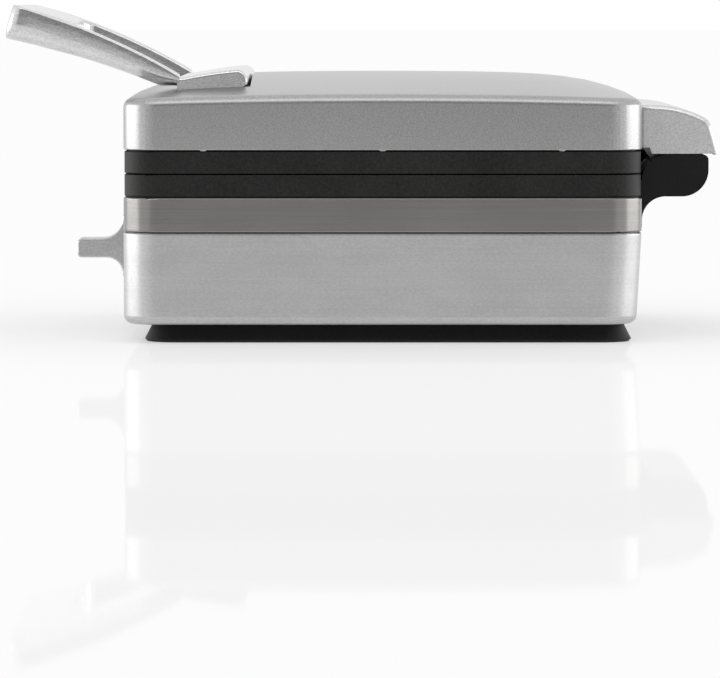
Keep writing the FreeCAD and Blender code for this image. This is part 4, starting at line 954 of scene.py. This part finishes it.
@dataclass
class HingeHood:
    """The silver hood over the hinge, open below and towards the lid."""

    wall: float = 2.4 * MM
    flat: float = 7.7 * MM
    crown_radius: float = 52.0 * MM
    crown_steps: int = 12
    shoulder_drop: float = 7.6 * MM
    shoulder_reach: float = 3.0 * MM
    shoulder_round: float = 7.5 * MM
    shoulder_steps: int = 6
    lean: float = 4.5 * MM
    step: float = 6.3 * MM
    step_lean: float = 1.0 * MM
    step_rise: float = 3.0 * MM
    end_round: float = 2.6 * MM
    end_steps: int = 5

    def build(self) -> None:
        """Draw the hood's side, extrude it and hollow it."""
        low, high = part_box("hinge_cover")
        start = (low.y + self.flat, high.z)
        shoulder = (high.y - self.lean, high.z - self.shoulder_drop)
        last = shoulder[0] - self.shoulder_reach
        crown_end = arc_height(last, start, shoulder, self.crown_radius)
        share = self.shoulder_reach / (shoulder[1] - low.z)
        turned = (shoulder[0] + self.lean * share, shoulder[1] - self.shoulder_reach)
        lip = low.z + self.step_rise
        blank = Blank()
        draw = SideOutline(blank, low.x, (low.y, lip))
        draw.line(low.y, high.z)
        draw.line(*start)
        draw.arc(last, crown_end, self.crown_radius, Turn.RIGHT, self.crown_steps)
        draw.arc(*turned, self.shoulder_round, Turn.RIGHT, self.shoulder_steps)
        draw.line(high.y, low.z)
        draw.line(low.y + self.step, low.z)
        draw.line(low.y + self.step - self.step_lean, lip)
        draw.extrude(high.x - low.x)
        rim, front = lip + HAIR, low.y + HAIR
        ends = blank.end_edges(lambda a, b: max(a.z, b.z) > rim)
        blank.bevel(ends, self.end_round, self.end_steps, clamp=False)
        blank.drop_faces(
            blank.faces(lambda spot: abs(spot.x) < MM and (spot.z < rim or spot.y < front))
        )
        blank.thicken(self.wall)
        blank.piece("hinge_hood", COVER_PAINT_PAINTED_LIGHT, Body.LID, ["hinge_cover"])


@dataclass
class FrontTab:
    """The silver tab on the base's front, which flares into its flange."""

    upper_flare: float = 10.5 * MM
    lower_flare: float = 8.0 * MM
    flare_steps: int = 10
    flange: float = 5.2 * MM
    margin: float = 1.6 * MM
    nose: float = 2.0 * MM
    nose_steps: int = 5
    flange_round: float = 1.0 * MM
    end_round: float = 0.9 * MM
    edge_steps: int = 4

    def build(self) -> None:
        """Draw the tab's side, extrude it across the base and round its edges."""
        low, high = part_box("front_grip")
        face = high.y - self.flange
        head = high.z - self.margin - self.upper_flare
        foot = low.z + self.margin + self.lower_flare
        blank = Blank()
        draw = SideOutline(blank, low.x, (high.y, low.z))
        draw.line(high.y, high.z)
        draw.line(face, high.z)
        draw.line(face, head + self.upper_flare)
        draw.arc(face - self.upper_flare, head, self.upper_flare, Turn.RIGHT, self.flare_steps)
        draw.line(low.y + self.nose, head)
        draw.arc(low.y, head - self.nose, self.nose, Turn.LEFT, self.nose_steps)
        draw.line(low.y, foot + self.nose)
        draw.arc(low.y + self.nose, foot, self.nose, Turn.LEFT, self.nose_steps)
        draw.line(face - self.lower_flare, foot)
        draw.arc(face, foot - self.lower_flare, self.lower_flare, Turn.RIGHT, self.flare_steps)
        draw.line(face, low.z)
        draw.extrude(high.x - low.x)

        def on_flange(a: Vector, b: Vector) -> bool:
            """Whether an edge runs across, at the top or the foot of the flange's face."""
            at_end = min(a.z - low.z, high.z - a.z) < WELD
            return at_end and abs(a.x - b.x) > MM and abs(a.y - face) < WELD

        blank.bevel(blank.edges(on_flange), self.flange_round, self.edge_steps)
        ends = blank.end_edges(lambda a, b: min(a.y, b.y) < high.y - HAIR)
        blank.bevel(ends, self.end_round, self.edge_steps, clamp=False)
        blank.piece("front_lip", GRIP_METAL, Body.BASE, ["front_grip"])


@dataclass
class CrossScrews:
    """A node's four screws, with rounded heads; a face stays over the cross sunk in each."""

    node: str
    body: Body
    head_up: bool
    shank: float
    head: float
    head_height: float
    segments: int = 28
    rim_share: float = 0.25
    rim_steps: int = 3
    border_share: float = 0.17
    slot_share: float = 0.17
    disc_share: float = 0.78
    recess_share: float = 0.6

    def build(self) -> None:
        """Model all the node's screws as one piece."""
        low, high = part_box(self.node)
        blank = Blank()
        face = high.z if self.head_up else low.z
        flip = Matrix.Diagonal((1.0, 1.0, 1.0 if self.head_up else -1.0, 1.0))
        for x in (low.x + self.head, high.x - self.head):
            for y in (low.y + self.head, high.y - self.head):
                place = Matrix.Translation((x, y, face)) @ flip
                blank.join(self.screw(high.z - low.z), place)
        blank.piece(self.node + "_turned", SCREW_STEEL, self.body, [self.node])

    def disc(self, screw: Blank) -> list[bmesh.types.BMFace]:
        """The faces of the head's face inside its rim."""
        reach = self.head * self.disc_share
        return [
            face for face in screw.faces(lambda spot: spot.z > -WELD)
            if max(vert.co.xy.length for vert in face.verts) < reach
        ]

    def screw(self, length: float) -> Blank:
        """Turn one screw that hangs from its head's face at the origin.

        Args:
            length: From the head's face to the tip.

        Returns:
            The screw.
        """
        screw = Blank()
        bmesh.ops.create_cone(
            screw.bm, cap_ends=True, segments=self.segments, radius1=self.head, radius2=self.head,
            depth=self.head_height, matrix=Matrix.Translation((0.0, 0.0, -self.head_height / 2)),
        )
        rim = screw.edges(lambda a, b: min(a.z, b.z) > -WELD)
        screw.bevel(rim, self.rim_share * self.head_height, self.rim_steps)
        face = max(screw.bm.faces, key=lambda item: item.calc_center_median().z)
        bmesh.ops.inset_region(screw.bm, faces=[face], thickness=self.head * self.border_share)
        half = self.slot_share * self.head
        for normal in (ALONG_X, ALONG_Y):
            for sign in (-1, 1):
                disc = self.disc(screw)
                parts = {edge for item in disc for edge in item.edges}
                parts |= {vert for item in disc for vert in item.verts}
                bmesh.ops.bisect_plane(
                    screw.bm, geom=[*parts, *disc], dist=TOUCH,
                    plane_co=normal * half * sign, plane_no=normal,
                )
        cross = []
        for item in self.disc(screw):
            spot = item.calc_center_median()
            if min(abs(spot.x), abs(spot.y)) < half / 2:
                cross.append(item)
        screw.extrude_faces(cross, Vector((0.0, 0.0, -self.recess_share * self.head_height)))
        seat = min(screw.bm.faces, key=lambda item: item.calc_center_median().z)
        bmesh.ops.inset_region(screw.bm, faces=[seat], thickness=self.head - self.shank)
        screw.extrude_faces([seat], Vector((0.0, 0.0, self.head_height - length)))
        return screw


PLATE_SCREW = (1.2 * MM, 2.2 * MM, 1.4 * MM)
FRAME_SCREW = (1.75 * MM, 3.5 * MM, 2.2 * MM)
SCREW_SETS = (
    CrossScrews("lower_plate_screws", Body.BASE, True, *PLATE_SCREW),
    CrossScrews("upper_plate_screws", Body.LID, False, *PLATE_SCREW),
    CrossScrews("lower_frame_screws", Body.BASE, True, *FRAME_SCREW),
    CrossScrews("lid_frame_screws", Body.LID, False, *FRAME_SCREW),
)


def aim(item: bpy.types.Object, at: Sequence[float], target: Sequence[float]) -> None:
    """Put a camera or a light in its place, turned to a target, and link it.

    Args:
        item: The camera or the light.
        at: Where it stands.
        target: What it looks at.
    """
    item.location = at
    way = Vector(target) - Vector(at)
    item.rotation_euler = way.to_track_quat("-Z", "Y").to_euler()
    bpy.context.scene.collection.objects.link(item)


@dataclass(frozen=True)
class SoftBox:
    """A soft light: where it hangs, its width and height, and its power in watts."""

    name: str
    at: Triple
    size: Pair
    power: float
    target: Triple = (0.0, 0.0, 0.08)

    def build(self) -> None:
        """Hang the box, hidden from the camera and from matte surfaces."""
        data = bpy.data.lights.new(self.name, "AREA")
        data.shape = "RECTANGLE"
        data.size, data.size_y = self.size
        data.energy = self.power
        light = bpy.data.objects.new(self.name, data)
        light.visible_camera = False
        light.visible_diffuse = False
        aim(light, self.at, self.target)


SOFT_BOXES = (
    SoftBox("front_box", at=(-0.15, -1.6, 0.24), size=(1.6, 0.44), power=7.2),
    SoftBox("rear_box", at=(-0.15, 1.6, 0.24), size=(1.6, 0.44), power=6.6),
    SoftBox("high_box", at=(1.2, 0.0, 1.5), size=(2.2, 0.8), power=5.0),
)


@dataclass
class Studio:
    """Camera, white surround, pale floor, grey card and soft lights."""

    camera_at: Triple = (2.704, -0.0109, 0.1633)
    camera_aim: Triple = (0.135, -0.0109, 0.0025)
    lens: float = 268.2
    sensor: float = 36.0
    sight: float = 200.0
    floor_half: float = 30.0
    floor_gloss: float = 0.12
    floor_roughness: float = 0.03
    floor_glow: float = 0.5
    card_at: Triple = (3.4, 0.0, 1.15)
    card_half: Pair = (1.2, 2.2)
    card_level: float = 0.28

    def build(self) -> None:
        """Set up everything that isn't the object."""
        bpy.context.scene.view_settings.view_transform = "Standard"
        self.add_camera()
        self.add_world()
        self.add_floor()
        self.add_card()
        for box in SOFT_BOXES:
            box.build()

    def add_camera(self) -> None:
        """A long lens from the side, a little above the lid."""
        data = bpy.data.cameras.new("camera")
        data.lens = self.lens
        data.sensor_width = self.sensor
        data.sensor_fit = "HORIZONTAL"
        data.clip_end = self.sight
        camera = bpy.data.objects.new("camera", data)
        aim(camera, self.camera_at, self.camera_aim)
        bpy.context.scene.camera = camera

    @staticmethod
    def add_world() -> None:
        """A plain white surround."""
        world = bpy.data.worlds.new("surround")
        world.use_nodes = True
        background = world.node_tree.nodes["Background"]
        background.inputs["Color"].default_value = WHITE
        background.inputs["Strength"].default_value = 1.0
        bpy.context.scene.world = world

    @staticmethod
    def add_plane(
        name: str, half: Pair, place: Matrix, material: bpy.types.Material
    ) -> bpy.types.Object:
        """A flat stage piece.

        Args:
            name: Its name.
            half: Its half sizes.
            place: Where it goes.
            material: What it is dressed in.

        Returns:
            Its object.
        """
        blank = Blank()
        spread = place @ Matrix.Diagonal((*half, 1.0, 1.0))
        bmesh.ops.create_grid(blank.bm, x_segments=1, y_segments=1, size=1.0, matrix=spread)
        item = blank.show(name)
        item.data.materials.append(material)
        return item

    def add_floor(self) -> None:
        """A white floor that glows by itself in part and has a faint gloss."""
        sheet = NodeSheet("floor_white")
        matte = sheet.out(sheet.add("ShaderNodeBsdfDiffuse", {"Color": WHITE}))
        gloss = sheet.add("ShaderNodeBsdfGlossy", {"Roughness": self.floor_roughness})
        pale = sheet.mix(self.floor_glow, matte, sheet.glow(1.0))
        white = sheet.close(sheet.mix(self.floor_gloss, pale, sheet.out(gloss)))
        self.add_plane("floor", (self.floor_half, self.floor_half), Matrix.Identity(4), white)

    def add_card(self) -> None:
        """A grey card behind the camera, which the flat sides mirror."""
        sheet = NodeSheet("grey_card")
        shade = sheet.close(sheet.glow(self.card_level))
        place = Matrix.Translation(self.card_at) @ Matrix.Rotation(math.pi / 2, 4, "Y")
        card = self.add_plane("card", self.card_half, place, shade)
        card.visible_camera = False
        card.visible_diffuse = False
        card.visible_shadow = False


NODE_FINISHES: Mapping[str, Finish] = {
    "plinth": PLINTH_PLASTIC,
    "rubber_feet": FOOT_RUBBER,
    "base_shell": BASE_SATIN,
    "steel_band": BAND_STEEL,
    "lower_frame": FRAME_PLASTIC,
    "upper_frame": FRAME_PLASTIC,
    "lower_plate": PLATE_COAT,
    "upper_plate": PLATE_COAT,
    "lower_element": HEATER_STEEL,
    "upper_element": HEATER_STEEL,
    "lower_reflector": SHEET_ALUMINIUM,
    "upper_reflector": SHEET_ALUMINIUM,
    "lower_posts": POST_BRASS,
    "upper_posts": POST_BRASS,
    "front_grip": GRIP_METAL,
    "hinge_block": BLOCK_PLASTIC,
    "hinge_pins": PIN_STEEL,
    "pin_clips": PIN_STEEL,
    "hinge_lugs": PIN_STEEL,
    "cord_grommet": FOOT_RUBBER,
    "thermostat": PHENOLIC,
    "thermal_fuse": WHITE_PLASTIC,
    "terminal_block": WHITE_PLASTIC,
    "indicator_lenses": LAMP_LENS,
    "lamp_board": BOARD_RESIN,
    "lid_shell": LID_PAINT,
    "handle": HANDLE_METAL,
    "hinge_cover": COVER_PAINT_PAINTED_LIGHT,
}


def dress_nodes() -> None:
    """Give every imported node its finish; the screws take plain steel."""
    for name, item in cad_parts.items():
        finish = NODE_FINISHES.get(name, SCREW_STEEL)
        item.data.materials.clear()
        item.data.materials.append(finish.build())
        LOG.info("%s: %s", name, finish.name)


def main() -> None:
    """Build the looks and the studio."""
    logging.basicConfig(level=logging.INFO, format="%(name)s %(message)s")
    dress_nodes()
    for modelled in (LidShell(), HandleCasting(), HingeHood(), FrontTab(), *SCREW_SETS):
        modelled.build()
    Studio().build()


if __name__ == "__main__":
    main()
